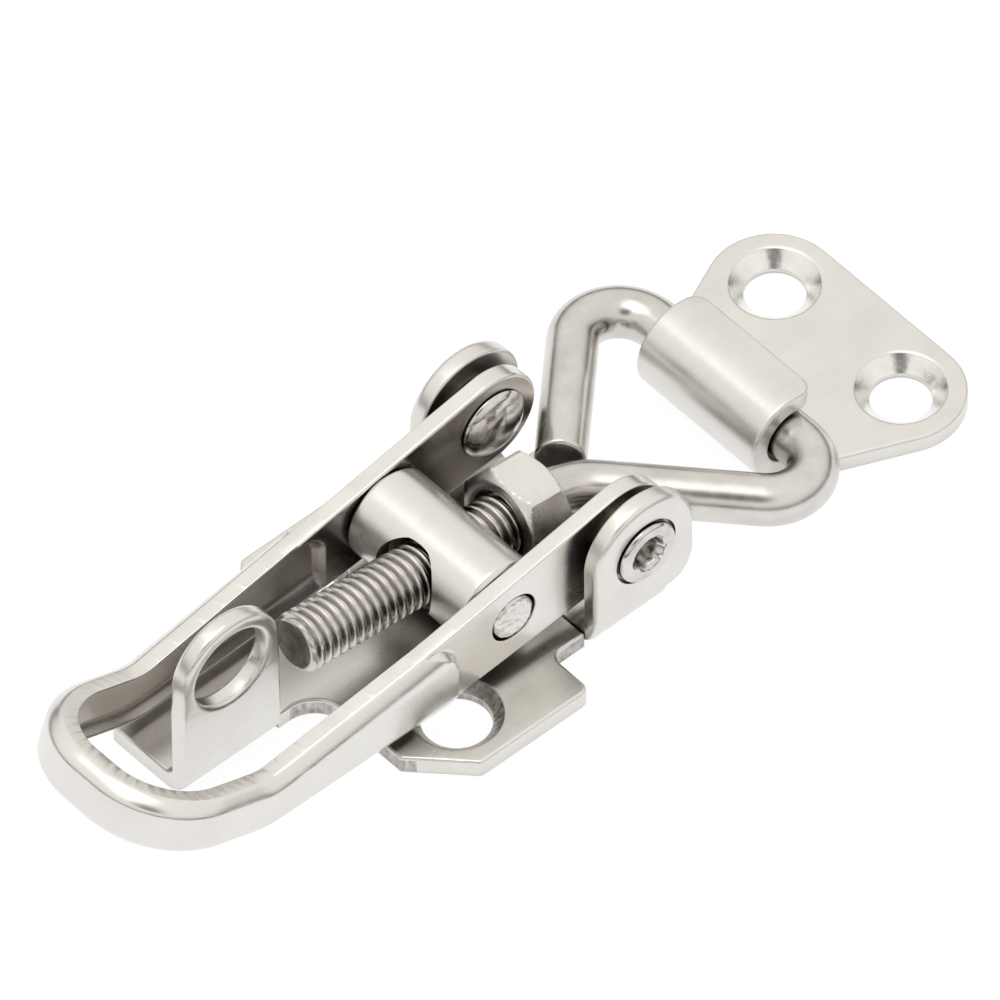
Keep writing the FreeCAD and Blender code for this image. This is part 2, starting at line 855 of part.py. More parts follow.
def catch_outline(sketch):
    """Plan of the flat plate: narrow at the hook, two round corners about the screw holes."""
    x0 = size("bar_x")
    rx = size("catch_root_x")
    ry = size("catch_root_y")
    hw = size("hook_half_width")
    cx = size("catch_corner_x")
    cy = size("catch_screw_y")
    r = size("catch_corner_radius")
    away = V(rx - cx, ry - cy, 0)
    reach = away.Length
    base_angle = math.degrees(math.atan2(away.y, away.x))
    tangent = base_angle - math.degrees(math.acos(r / reach))
    start = on_circle(cx, cy, r, tangent)
    middle = on_circle(cx, cy, r, tangent / 2.0)
    steps = [
        (rx, ry),
        start,
        (middle, (cx + r, cy)),
        (cx + r, -cy),
        ((middle[0], -middle[1]), (start[0], -start[1])),
        (rx, -ry),
        (x0, -hw),
        (x0, hw),
    ]
    draw(sketch, (x0, hw), steps)


def make_catch_plate():
    body = new_body("catch_plate")
    flat = new_sketch(body, "plate_outline", "XY_Plane")
    catch_outline(flat)
    pad(body, "plate", flat, "{sheet}")
    hook = new_sketch(body, "hook_outline", "XZ_Plane")
    hook_section(hook)
    pad(body, "hook", hook, "2 * {hook_half_width}", True)
    for side, tag in ((1, "left"), (-1, "right")):
        sink_hole(body, "catch_hole_" + tag, size("catch_screw_x"), side * size("catch_screw_y"),
                  size("catch_screw_radius"), size("catch_sink_radius"))
    return body


def check_all():
    for obj in doc.Objects:
        if "Invalid" in obj.State or "Error" in obj.State:
            raise RuntimeError("feature failed: " + obj.Name)
    for node in NODES:
        if node.Shape.isNull() or not node.Shape.isValid() or len(node.Shape.Solids) != 1:
            raise RuntimeError("bad shape: " + node.Label)


def write_steps():
    os.makedirs("parts", exist_ok=True)
    for node in NODES:
        node.Shape.exportStep("parts/%s.step" % node.Label)
        box = node.Shape.BoundBox
        print("%-16s %8.2f mm3  X %.2f..%.2f  Y %.2f..%.2f  Z %.2f..%.2f" % (
            node.Label, node.Shape.Volume, box.XMin, box.XMax, box.YMin, box.YMax,
            box.ZMin, box.ZMax))


make_base_plate()
make_lever_handle()
make_rivet("pivot_rivet_left", 1)
make_rivet("pivot_rivet_right", -1)
make_barrel()
make_bail_rod()
make_lock_nut()
make_catch_plate()
doc.recompute()
check_all()
write_steps()
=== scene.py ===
import math

import bmesh
import bpy
from mathutils import Matrix, Vector, geometry, noise


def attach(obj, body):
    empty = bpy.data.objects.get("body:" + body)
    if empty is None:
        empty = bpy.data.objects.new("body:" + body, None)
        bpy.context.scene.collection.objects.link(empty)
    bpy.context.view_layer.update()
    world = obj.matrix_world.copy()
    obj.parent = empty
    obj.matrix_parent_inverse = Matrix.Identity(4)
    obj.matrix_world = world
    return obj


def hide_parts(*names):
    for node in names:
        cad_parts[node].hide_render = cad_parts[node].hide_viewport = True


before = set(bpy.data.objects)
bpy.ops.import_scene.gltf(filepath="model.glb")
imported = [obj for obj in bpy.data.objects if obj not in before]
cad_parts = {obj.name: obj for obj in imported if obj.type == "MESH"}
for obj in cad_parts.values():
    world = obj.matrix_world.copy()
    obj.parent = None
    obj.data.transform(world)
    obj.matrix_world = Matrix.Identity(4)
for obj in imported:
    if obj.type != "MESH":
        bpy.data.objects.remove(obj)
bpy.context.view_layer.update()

MM = 0.001

# Shared sizes in millimetres, the same as the solids.
SHEET = 2.0
HANDLE_SHEET = 1.8
PIVOT = Vector((21.0, 0.0, 10.2))
TRUNNION = Vector((7.7, 0.0, 8.6))
BAR = Vector((43.3, 0.0, 4.8))
ROD_TILT = math.atan2(TRUNNION.z - BAR.z, BAR.x - TRUNNION.x)
QUARTER = math.pi / 2

# Mesh detail: steps in a rounded edge, the longest side of an outline, the height from which a
# face counts as the cut wall, and how far joined outlines run into each other.
ROUND_STEPS = 4
LONGEST_SIDE = 1.5
WALL_STEP = 0.5
OVERLAP = 0.1
TINY = 1e-6


# ------------------------------------------------------------ outline helpers

def everywhere(value):
    """The same value at each point of an outline."""
    return lambda point: value


def arc(cx, cy, radius, start_deg, end_deg, step_deg=7.5):
    """Points along an arc, both ends included."""
    count = max(2, int(math.ceil(abs(end_deg - start_deg) / step_deg)))
    points = []
    for i in range(count + 1):
        a = math.radians(start_deg + (end_deg - start_deg) * i / count)
        points.append((cx + radius * math.cos(a), cy + radius * math.sin(a)))
    return points


def ring(cx, cy, radius, count=72):
    """A hole outline, clockwise, so that the material is on its left."""
    points = []
    for i in range(count):
        a = -2 * math.pi * i / count
        points.append((cx + radius * math.cos(a), cy + radius * math.sin(a)))
    return points


def subdivide(points, longest):
    """Closed outline with no side longer than given."""
    result = []
    for i, p in enumerate(points):
        q = points[(i + 1) % len(points)]
        length = math.dist(p, q)
        if length < TINY:
            continue
        count = max(1, int(math.ceil(length / longest)))
        for k in range(count):
            f = k / count
            result.append((p[0] + (q[0] - p[0]) * f, p[1] + (q[1] - p[1]) * f))
    return result


SHARPEST_MITRE = 0.45


def inward(points):
    """Mitred step into the material at each point of a closed outline, per unit of inset."""
    count = len(points)
    steps = []
    for i in range(count):
        a = Vector(points[i - 1])
        b = Vector(points[i])
        c = Vector(points[(i + 1) % count])
        d0 = (b - a).normalized()
        d1 = (c - b).normalized()
        n0 = Vector((-d0.y, d0.x))
        n1 = Vector((-d1.y, d1.x))
        middle = n0 + n1
        if middle.length < TINY:
            middle = n0.copy()
        middle.normalize()
        steps.append(middle / max(SHARPEST_MITRE, middle.dot(n0)))
    return steps


def rounded_levels(thickness, low, high):
    """Inset and height pairs up a sheet's cut edge, with both corners rounded."""
    levels = []
    for i in range(ROUND_STEPS + 1):
        a = QUARTER * i / ROUND_STEPS
        levels.append((low * (1 - math.sin(a)), low * (1 - math.cos(a))))
    for i in range(ROUND_STEPS + 1):
        a = QUARTER * i / ROUND_STEPS
        levels.append((high * (1 - math.cos(a)), thickness - high * (1 - math.sin(a))))
    return levels


# -------------------------------------------------------------- mesh helpers

def add_mesh_object(name, bm):
    """A new object in the scene from a mesh in code, which stays open."""
    mesh = bpy.data.meshes.new(name)
    bm.to_mesh(mesh)
    obj = bpy.data.objects.new(name, mesh)
    bpy.context.scene.collection.objects.link(obj)
    return obj


def make_object(name, bm, materials, body, node, sharp_deg=32.0):
    """Turn a millimetre bmesh into a finished piece that rides on a CAD body."""
    bmesh.ops.remove_doubles(bm, verts=bm.verts[:], dist=1e-4)
    bmesh.ops.recalc_face_normals(bm, faces=bm.faces[:])
    bmesh.ops.scale(bm, vec=(MM, MM, MM), verts=bm.verts[:])
    for face in bm.faces:
        face.smooth = True
    for edge in bm.edges:
        if len(edge.link_faces) == 2:
            edge.smooth = edge.calc_face_angle(0.0) < math.radians(sharp_deg)
    obj = add_mesh_object(name, bm)
    bm.free()
    for key in materials:
        obj.data.materials.append(STEEL[key])
    weighted = obj.modifiers.new("weighted", "WEIGHTED_NORMAL")
    weighted.keep_sharp = True
    weighted.weight = 80
    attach(obj, body)
    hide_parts(node)
    return obj


def plate(loops, low_material=0):
    """Flat sheet from closed outlines: (points, levels of each point, where the wall is rough)."""
    bm = bmesh.new()
    low_rings = []
    high_rings = []
    for points, levels_at, rough_at in loops:
        steps = inward(points)
        columns = []
        for p, step in zip(points, steps):
            column = []
            for inset, z in levels_at(p):
                column.append(bm.verts.new((p[0] + step.x * inset, p[1] + step.y * inset, z)))
            columns.append(column)
        count = len(columns)
        for i in range(count):
            left = columns[i]
            right = columns[(i + 1) % count]
            rough = rough_at(points[i])
            for k in range(len(left) - 1):
                face = bm.faces.new((left[k], right[k], right[k + 1], left[k + 1]))
                if rough and left[k + 1].co.z - left[k].co.z > WALL_STEP:
                    face.material_index = 1
        low_rings.append([c[0] for c in columns])
        high_rings.append([c[-1] for c in columns])
    for rings, flip in ((low_rings, True), (high_rings, False)):
        flat = [v for r in rings for v in r]
        triangles = geometry.tessellate_polygon([[v.co for v in r] for r in rings])
        for tri in triangles:
            corners = [flat[i] for i in tri]
            if flip:
                corners.reverse()
            if bm.faces.get(corners) is None:
                face = bm.faces.new(corners)
                if flip:
                    face.material_index = low_material
    bmesh.ops.recalc_face_normals(bm, faces=bm.faces[:])
    return bm


def slice_at(bm, axis, positions):
    """Cut edges into the mesh along planes so that it can bend there."""
    normal = Vector((0, 0, 0))
    normal[axis] = 1.0
    for value in positions:
        point = Vector((0, 0, 0))
        point[axis] = value
        everything = bm.verts[:] + bm.edges[:] + bm.faces[:]
        bmesh.ops.bisect_plane(bm, geom=everything, dist=1e-5, plane_co=point, plane_no=normal)


def spread(start, end, step):
    """Even positions from start to end, about a step apart."""
    count = max(1, int(round(abs(end - start) / step)))
    return [start + (end - start) * i / count for i in range(count + 1)]


def bend(beyond, across, start, radius_out, sweep):
    """Where a point of a flat sheet goes once the sheet is bent up: along and height."""
    middle = radius_out - SHEET / 2
    length = middle * sweep
    r = radius_out - across
    if beyond <= length:
        a = beyond / middle
        return start + r * math.sin(a), radius_out - r * math.cos(a)
    over = beyond - length
    along = start + r * math.sin(sweep) + over * math.cos(sweep)
    height = radius_out - r * math.cos(sweep) + over * math.sin(sweep)
    return along, height


def turned(profile, count=96, wave=None):
    """Solid of revolution about Z from (radius, height) pairs that start and end on the axis."""
    bm = bmesh.new()
    rings = []
    for radius, height in profile:
        if radius < TINY:
            rings.append([bm.verts.new((0, 0, height))])
            continue
        row = []
        for i in range(count):
            a = 2 * math.pi * i / count
            p = Vector((radius * math.cos(a), radius * math.sin(a), height))
            if wave:
                p = wave(p)
            row.append(bm.verts.new(p))
        rings.append(row)
    join_rings(bm, rings)
    return bm


def join_rings(bm, rings):
    """Skin a row of vertex rings; a ring of one vertex closes the end."""
    for low, high in zip(rings, rings[1:]):
        count = max(len(low), len(high))
        for i in range(count):
            j = (i + 1) % count
            if len(low) == 1:
                bm.faces.new((low[0], high[i], high[j]))
            elif len(high) == 1:
                bm.faces.new((low[i], low[j], high[0]))
            else:
                bm.faces.new((low[i], low[j], high[j], high[i]))


def row_about_x(bm, x, count, radius_at):
    """Ring of vertices about X, its radius given for each angle."""
    row = []
    for i in range(count):
        a = 2 * math.pi * i / count
        r = radius_at(a)
        row.append(bm.verts.new((x, r * math.cos(a), r * math.sin(a))))
    return row


def place(bm, origin, x_axis, z_axis):
    """Move a mesh so that its own Z and X lie along the given directions at origin."""
    z = Vector(z_axis).normalized()
    x = (Vector(x_axis) - z * z.dot(Vector(x_axis))).normalized()
    y = z.cross(x)
    turn = Matrix((x, y, z)).transposed().to_4x4()
    bm.transform(Matrix.Translation(Vector(origin)) @ turn)
    return bm


def onto_rod(bm):
    """Move a mesh made about X to the rod's tilted line through the barrel."""
    bm.transform(Matrix.Translation(TRUNNION) @ Matrix.Rotation(ROD_TILT, 4, "Y"))


FILLET_SHARE = 0.45


def fillet_profile(points, radius, steps):
    """Round the corners of a (radius, height) profile, ends left alone."""
    result = [points[0]]
    for a, b, c in zip(points, points[1:], points[2:]):
        pa = Vector(a) - Vector(b)
        pc = Vector(c) - Vector(b)
        cut = min(radius, pa.length * FILLET_SHARE, pc.length * FILLET_SHARE)
        start = Vector(b) + pa.normalized() * cut
        end = Vector(b) + pc.normalized() * cut
        for i in range(steps + 1):
            f = i / steps
            p = start * (1 - f) ** 2 + Vector(b) * 2 * f * (1 - f) + end * f ** 2
            result.append((p.x, p.y))
    result.append(points[-1])
    return result


# ----------------------------------------------------------------- materials

# Colour of the painted shade that darkens the steel deep in gaps and corners.
GAP_SHADE_COLOUR = (0.20, 0.175, 0.155)
COLOUR_A = 6
COLOUR_B = 7
COLOUR_OUT = 2


class Nodes:
    """Small helper for writing a material as a list of linked nodes."""

    def __init__(self, name):
        self.material = bpy.data.materials.new(name)
        self.material.use_nodes = True
        self.tree = self.material.node_tree
        self.shader = self.tree.nodes["Principled BSDF"]
        self.coords = self.add("ShaderNodeTexCoord")

    def add(self, kind, **settings):
        node = self.tree.nodes.new(kind)
        for key, value in settings.items():
            setattr(node, key, value)
        return node

    def link(self, source, target):
        self.tree.links.new(source, target)

    def stretched(self, scale):
        """Object coordinates stretched by a factor along each axis, per metre."""
        mapping = self.add("ShaderNodeMapping")
        mapping.inputs["Scale"].default_value = scale
        self.link(self.coords.outputs["Object"], mapping.inputs["Vector"])
        return mapping.outputs["Vector"]

    def noise(self, scale, detail=4.0, roughness=0.55):
        node = self.add("ShaderNodeTexNoise")
        node.inputs["Scale"].default_value = 1.0
        node.inputs["Detail"].default_value = detail
        node.inputs["Roughness"].default_value = roughness
        self.link(self.stretched(scale), node.inputs["Vector"])
        return node.outputs["Fac"]

    def ramp(self, source, low, high, out_low, out_high):
        node = self.add("ShaderNodeMapRange")
        node.inputs["From Min"].default_value = low
        node.inputs["From Max"].default_value = high
        node.inputs["To Min"].default_value = out_low
        node.inputs["To Max"].default_value = out_high
        self.link(source, node.inputs["Value"])
        return node.outputs["Result"]

    def math(self, operation, a, b):
        node = self.add("ShaderNodeMath", operation=operation)
        for socket, value in zip(node.inputs, (a, b)):
            if isinstance(value, (int, float)):
                socket.default_value = value
            else:
                self.link(value, socket)
        return node.outputs["Value"]

    def mix_colour(self, factor, a, b):
        node = self.add("ShaderNodeMix", data_type="RGBA")
        self.link(factor, node.inputs["Factor"])
        node.inputs[COLOUR_A].default_value = (*a, 1.0)
        node.inputs[COLOUR_B].default_value = (*b, 1.0)
        return node.outputs[COLOUR_OUT]

    def painted_gap_shade(self, colour, shade_colour, reach):
        """The colour with painted shade: darkened towards a shade colour where the surface lies deep
        in a gap.
        """
        shade = self.add("ShaderNodeAmbientOcclusion", samples=8)
        shade.inputs["Distance"].default_value = reach
        node = self.add("ShaderNodeMix", data_type="RGBA")
        self.link(self.ramp(shade.outputs["AO"], 0.12, 0.62, 0.0, 1.0), node.inputs["Factor"])
        node.inputs[COLOUR_A].default_value = (*shade_colour, 1.0)
        self.link(colour, node.inputs[COLOUR_B])
        return node.outputs[COLOUR_OUT]

    def bump(self, height, strength, distance, below=None):
        node = self.add("ShaderNodeBump")
        node.inputs["Strength"].default_value = strength
        node.inputs["Distance"].default_value = distance
        self.link(height, node.inputs["Height"])
        if below is not None:
            self.link(below, node.inputs["Normal"])
        return node.outputs["Normal"]

    def set(self, socket, value):
        if isinstance(value, (int, float)):
            self.shader.inputs[socket].default_value = value
        else:
            self.link(value, self.shader.inputs[socket])


def steel(name, light, dark, rough, grain, mottle=(180, 180, 180), speckle=0.07,
          gap_shade_reach=0.0045):
    """Stainless steel: mottled tone, drawn grain that catches light, fine handling marks and painted
    shade in gaps.

    Light and dark are the tone's two ends, rough the roughness's; grain and mottle are noise
    scales per metre along each axis, and the last argument is how far into a gap painted shade
    darkens the tone.
    """
    n = Nodes(name)
    cloud = n.noise(mottle, 3.0)
    lines = n.noise(grain, 5.0, 0.65)
    dust = n.noise((2600, 2600, 2600), 2.0)
    tone = n.math("ADD", n.math("MULTIPLY", cloud, 0.65), n.math("MULTIPLY", lines, 0.35))
    colour = n.mix_colour(n.ramp(tone, 0.38, 0.62, 0.0, 1.0), dark, light)
    # Painted shade: the base colour darkens towards a brown grey deep in gaps and corners.
    n.set("Base Color", n.painted_gap_shade(colour, GAP_SHADE_COLOUR, gap_shade_reach))
    n.set("Metallic", 1.0)
    wear = n.math("ADD", n.math("MULTIPLY", cloud, 0.5), n.math("MULTIPLY", lines, 0.5))
    n.set("Roughness", n.ramp(wear, 0.3, 0.7, rough[0], rough[1]))
    fine = n.bump(lines, 0.25, 0.00004)
    soft = n.bump(cloud, 0.12, 0.0003, fine)
    n.set("Normal", n.bump(dust, speckle, 0.00003, soft))
    return n.material


STEEL = {
    "sheet": steel("pressed sheet steel", (0.76, 0.745, 0.71), (0.71, 0.69, 0.655),
                   (0.24, 0.36), (90, 700, 700)),
    "handle": steel("handle sheet steel", (0.77, 0.755, 0.725), (0.735, 0.715, 0.685),
                    (0.20, 0.31), (260, 420, 420)),
    "rivet": steel("rivet steel", (0.70, 0.68, 0.66), (0.54, 0.52, 0.50), (0.10, 0.2),
                   (700, 300, 700), (420, 420, 420), 0.3),
    "barrel": steel("turned steel", (0.76, 0.75, 0.72), (0.735, 0.72, 0.69), (0.25, 0.33),
                    (200, 900, 200), (140, 140, 140)),
    "rod": steel("drawn rod steel", (0.69, 0.67, 0.645), (0.57, 0.55, 0.52), (0.17, 0.29),
                 (120, 120, 120), (260, 260, 260)),
    "nut": steel("nut steel", (0.78, 0.765, 0.735), (0.70, 0.685, 0.655), (0.22, 0.34),
                 (900, 300, 300), (200, 200, 200)),
    "sheared": steel("sheared edge", (0.66, 0.64, 0.61), (0.30, 0.28, 0.26), (0.30, 0.55),
                     (1500, 1500, 500), (1900, 1900, 900), 1.0),
    # Painted shade: the lever's inside face is a darker copy of the handle steel, with its painted
    # gap shade reaching further, standing in for the shade between the arms.
    "inside": steel("lever inside face painted shade", (0.54, 0.51, 0.485), (0.43, 0.405, 0.38), (0.18, 0.32),
                    (70, 500, 500), (130, 130, 130), 0.1, 0.008),
    "sunk": steel("countersunk face", (0.86, 0.85, 0.83), (0.78, 0.77, 0.75), (0.14, 0.24),
                  (500, 500, 2500), (600, 600, 600), 0.2),
    "cut": steel("cropped end", (0.40, 0.38, 0.36), (0.22, 0.20, 0.18), (0.35, 0.55),
                 (1500, 1500, 1500), (700, 700, 700), 0.6),
}


# ---------------------------------------------------------------- base plate

# Ears: bend line and outer radius, half width, front corner, and the edge on the relief's side.
EAR_BEND_Y = 8.5
EAR_BEND_OUT = 4.5
EAR_HALF = 6.0
EAR_BACK_X = 14.94
EAR_CORNER = 3.3
EAR_CORNER_RISE = 2.1
EAR_HOLE_R = 2.5
EAR_ARC = (EAR_BEND_OUT - SHEET / 2) * QUARTER
EAR_BEND_END = EAR_BEND_Y + EAR_ARC
EAR_EYE_V = EAR_BEND_END + PIVOT.z - EAR_BEND_OUT

# Screw tabs, with the relief beside the ear and the chamfer towards the tongue. The chamfer's
# front round sits a short shift ahead, where it runs smoothly into the slope.
TAB_FRONT_X = 11.0
TAB_BACK_X = -7.4
TAB_Y = 16.5
TAB_CORNER = 1.0
RELIEF_Y = 11.2
RELIEF_CORNER = 1.2
CHAMFER_FRONT_X = -2.4
CHAMFER_SHIFT = 0.45
CHAMFER_LOW_Y = 11.0
CHAMFER_FRONT_R = 0.8
CHAMFER_BACK_R = 0.25
SCREW_Y = 10.5
SCREW_R = 3.3

# Tongue, with the padlock lug bent up from its near side and a notch beside the lug.
TONGUE_FAR_Y = 9.8
TONGUE_INNER_R = 1.2
TONGUE_OUTER_R = 0.8
LUG_BEND_Y = 2.2
LUG_BEND_OUT = 2.8
LUG_X = (-24.2, -12.4)
LUG_EYE_Z = 13.9
LUG_EYE_R = 4.3
LUG_ARC = (LUG_BEND_OUT - SHEET / 2) * QUARTER
NOTCH_GAP = 0.2
NOTCH_Y = 0.2
NOTCH_CORNER = 3.4

# Rounding of the cut edges: sheet top and underside, ears, the lug's sides, its arch and its eye.
EDGE = 0.3
LOW_EDGE = 0.2
EAR_EDGE_GROWTH = 0.55
EAR_EDGE_FROM = 11.0
EAR_EDGE_RUN = 4.0
LUG_SIDE_EDGE = 0.4
LUG_SIDE_TO = 0.5
LUG_ARCH_EDGE = 0.6
LUG_ARCH_TO = -9.0
LUG_EYE_EDGE = 0.5

# Cut walls that show the shear's rough face.
NOTCH_WALL_X = (-12.0, -7.3)
NOTCH_WALL_Y = 1.0
RELIEF_WALL_X = (10.8, 14.95)
RELIEF_WALL_Y = (8.0, 13.0)

# Holes as (step into the sheet, height): the countersink, and the ear's hole with a recess
# round the rolled rivet.
BASE_SINK = [(0.15, 0.0), (0.04, 0.04), (0.0, 0.15), (0.0, 0.85), (0.03, 0.93),
             (1.05, 1.92), (1.15, 1.98), (1.3, SHEET)]
RIVET_RECESS = [(1.22, 0.0), (1.1, 0.04), (1.04, 0.16), (1.0, 0.6), (0.0, 0.62), (0.0, SHEET)]


def mirrored(points, side):
    """The same outline for the near side (-1), still counter-clockwise."""
    if side > 0:
        return points
    return [(x, -v) for x, v in reversed(points)]


def ear_strip(side):
    """Unrolled outline of one ear from the front edge round to the back edge, in plan."""
    corner_x = PIVOT.x + EAR_HALF - EAR_CORNER
    points = [(corner_x + OVERLAP, EAR_BEND_Y - OVERLAP)]
    points += arc(corner_x, EAR_BEND_END + EAR_CORNER_RISE, EAR_CORNER, -88, 0)
    points += arc(PIVOT.x, EAR_EYE_V, EAR_HALF, 0, 180, 5.0)
    points += [(PIVOT.x - EAR_HALF, EAR_BEND_Y - OVERLAP)]
    return mirrored(points, side)


def tab_outline(side):
    """Relief beside the ear, then the screw tab, from front to back."""
    points = [(EAR_BACK_X, EAR_BEND_Y - OVERLAP), (EAR_BACK_X, RELIEF_Y)]
    points += arc(TAB_FRONT_X + RELIEF_CORNER, RELIEF_Y + RELIEF_CORNER, RELIEF_CORNER, 270, 180, 15)
    points += arc(TAB_FRONT_X - TAB_CORNER, TAB_Y - TAB_CORNER, TAB_CORNER, 0, 90, 22.5)
    points += arc(CHAMFER_FRONT_X + CHAMFER_SHIFT, TAB_Y - CHAMFER_FRONT_R, CHAMFER_FRONT_R,
                  90, 135, 22.5)
    points += arc(TAB_BACK_X + CHAMFER_BACK_R, CHAMFER_LOW_Y, CHAMFER_BACK_R, 135, 180, 22.5)
    return mirrored(points, side)


def base_outline():
    """Whole flat pattern of the base, counter-clockwise from above, and the lug's eye in it."""
    lug_centre = LUG_BEND_Y - (LUG_ARC + LUG_EYE_Z - LUG_BEND_OUT)
    lug_mid = sum(LUG_X) / 2
    lug_r = (LUG_X[1] - LUG_X[0]) / 2
    front = PIVOT.x + EAR_HALF
    slit = LUG_X[1] + NOTCH_GAP
    points = [(front, EAR_BEND_Y - OVERLAP)]
    points += ear_strip(1)
    points += tab_outline(1)
    points += arc(TAB_BACK_X - TONGUE_INNER_R, TONGUE_FAR_Y + TONGUE_INNER_R, TONGUE_INNER_R,
                  0, -90, 15)
    points += arc(LUG_X[0] + TONGUE_OUTER_R, TONGUE_FAR_Y - TONGUE_OUTER_R, TONGUE_OUTER_R,
                  90, 180, 22.5)
    points += arc(lug_mid, lug_centre, lug_r, 180, 360, 5.0)
    points += [(LUG_X[1], LUG_BEND_Y + OVERLAP), (slit, LUG_BEND_Y + OVERLAP), (slit, NOTCH_Y)]
    points += arc(TAB_BACK_X - NOTCH_CORNER, NOTCH_Y - NOTCH_CORNER, NOTCH_CORNER, 90, 0, 7.5)
    points += tab_outline(-1)
    points += ear_strip(-1)
    points += [(front, -EAR_BEND_Y + OVERLAP)]
    return points, (lug_mid, lug_centre)


# How far past its own edge a bent part still takes points of the flat pattern.
EAR_MARGIN = 0.03
LUG_MARGIN = 0.05


def bend_base(co):
    """Fold the ears and the lug up out of the flat pattern."""
    x, v, w = co
    side = 1 if v > 0 else -1
    if x > EAR_BACK_X + EAR_MARGIN and abs(v) > EAR_BEND_Y:
        y, z = bend(abs(v) - EAR_BEND_Y, w, EAR_BEND_Y, EAR_BEND_OUT, QUARTER)
        return Vector((x, side * y, z))
    if x < LUG_X[1] + LUG_MARGIN and v < LUG_BEND_Y:
        out, z = bend(LUG_BEND_Y - v, w, 0.0, LUG_BEND_OUT, QUARTER)
        return Vector((x, LUG_BEND_Y - out, z))
    return Vector((x, v, w))


def base_plate():
    outline, eye = base_outline()
    outline = subdivide(outline, LONGEST_SIDE)

    def edge_levels(p):
        on_lug = p[0] < LUG_X[1] + OVERLAP
        if on_lug and p[1] < LUG_ARCH_TO:
            return rounded_levels(SHEET, LUG_ARCH_EDGE, LUG_ARCH_EDGE)
        if on_lug and p[1] < LUG_SIDE_TO:
            return rounded_levels(SHEET, LUG_SIDE_EDGE, LUG_SIDE_EDGE)
        if p[0] > EAR_BACK_X and abs(p[1]) > EAR_EDGE_FROM:
            grown = min(1.0, (abs(p[1]) - EAR_EDGE_FROM) / EAR_EDGE_RUN)
            return rounded_levels(SHEET, LOW_EDGE + EAR_EDGE_GROWTH * grown, EDGE)
        return rounded_levels(SHEET, LOW_EDGE, EDGE)

    def sheared(p):
        notch = NOTCH_WALL_X[0] < p[0] < NOTCH_WALL_X[1] and p[1] < NOTCH_WALL_Y
        relief = (RELIEF_WALL_X[0] < p[0] < RELIEF_WALL_X[1]
                  and RELIEF_WALL_Y[0] < abs(p[1]) < RELIEF_WALL_Y[1])
        return notch or relief

    rivet_levels = everywhere(RIVET_RECESS)
    eye_levels = everywhere(rounded_levels(SHEET, LUG_EYE_EDGE, LUG_EYE_EDGE))
    loops = [
        (outline, edge_levels, sheared),
        (ring(PIVOT.x, EAR_EYE_V, EAR_HOLE_R), rivet_levels, everywhere(False)),
        (ring(PIVOT.x, -EAR_EYE_V, EAR_HOLE_R), rivet_levels, everywhere(False)),
        (ring(*eye, LUG_EYE_R), eye_levels, everywhere(False)),
        (ring(0.0, -SCREW_Y, SCREW_R), everywhere(BASE_SINK), everywhere(True)),
        (ring(0.0, SCREW_Y, SCREW_R), everywhere(BASE_SINK), everywhere(True)),
    ]
    bm = plate(loops)
    for side in (1, -1):
        slice_at(bm, 1, [side * v for v in spread(EAR_BEND_Y, EAR_BEND_END, 0.5)])
    slice_at(bm, 1, spread(LUG_BEND_Y, LUG_BEND_Y - LUG_ARC, 0.35))
    for vert in bm.verts:
        vert.co = bend_base(vert.co)
    make_object("base_plate_pressed", bm, ("sheet", "sheared"), "base", "base_plate")


# -------------------------------------------------------------- lever handle

# Arms: middle plane, rounded end, how the edges run, and the band that carries the loop.
ARM_Y = 8.9
ARM_END = 5.3
TOP_SLOPE = 0.18
LOW_SLOPE = 0.09
BEND_X = -21.0
KNEE_X = -1.4
MID_Z = 5.75
HALF_BAND = 2.85
RIVET_HOLE_R = 2.5
PIN_HOLE_R = 2.6

# Loop: middle line's half width, the rise of the nose and its bends.
LOOP_Y = 8.45
RISE = math.radians(20.0)
BEND_R = 8.0
NOSE_RUN = 4.5
CORNER_R = 7.0

# Outward bulge: depth, share of the band from rim to crease, share of the depth in the crease,
# and its front end, which curves back below the arm's upper edge.
BOW = 1.2
BOW_RIM = 0.5
BOW_CREASE = 0.86
BULGE_X = 0.7
BULGE_EASE = 0.9
BULGE_CORNER = 3.0
BULGE_TOP_Z = 11.0
BULGE_CUTS_Z = (3.2, 11.6)

# Rounding of the band's edges (inner face, outer face) and of its holes.
HANDLE_EDGES = (0.3, 0.22)
HANDLE_HOLE_EDGE = 0.12


def arm_top(x):
    return PIVOT.z + ARM_END * math.hypot(1, TOP_SLOPE) + TOP_SLOPE * (x - PIVOT.x)


def arm_low(x):
    return PIVOT.z - ARM_END * math.hypot(1, LOW_SLOPE) + LOW_SLOPE * (x - PIVOT.x)


def arm_edges(x):
    """Heights of the arm's upper and lower edge."""
    if x >= KNEE_X:
        return arm_top(x), arm_low(x)
    f = (KNEE_X - x) / (KNEE_X - BEND_X)
    top = arm_top(KNEE_X) * (1 - f) + (MID_Z + HALF_BAND) * f
    low = arm_low(KNEE_X) * (1 - f) + (MID_Z - HALF_BAND) * f
    return top, low


def loop_lengths():
    """Path length at the end of the up-bend, run, corner and at the middle of the tip."""
    a = BEND_R * RISE
    b = a + NOSE_RUN
    c = b + CORNER_R * QUARTER
    d = c + LOOP_Y - CORNER_R
    return a, b, c, d


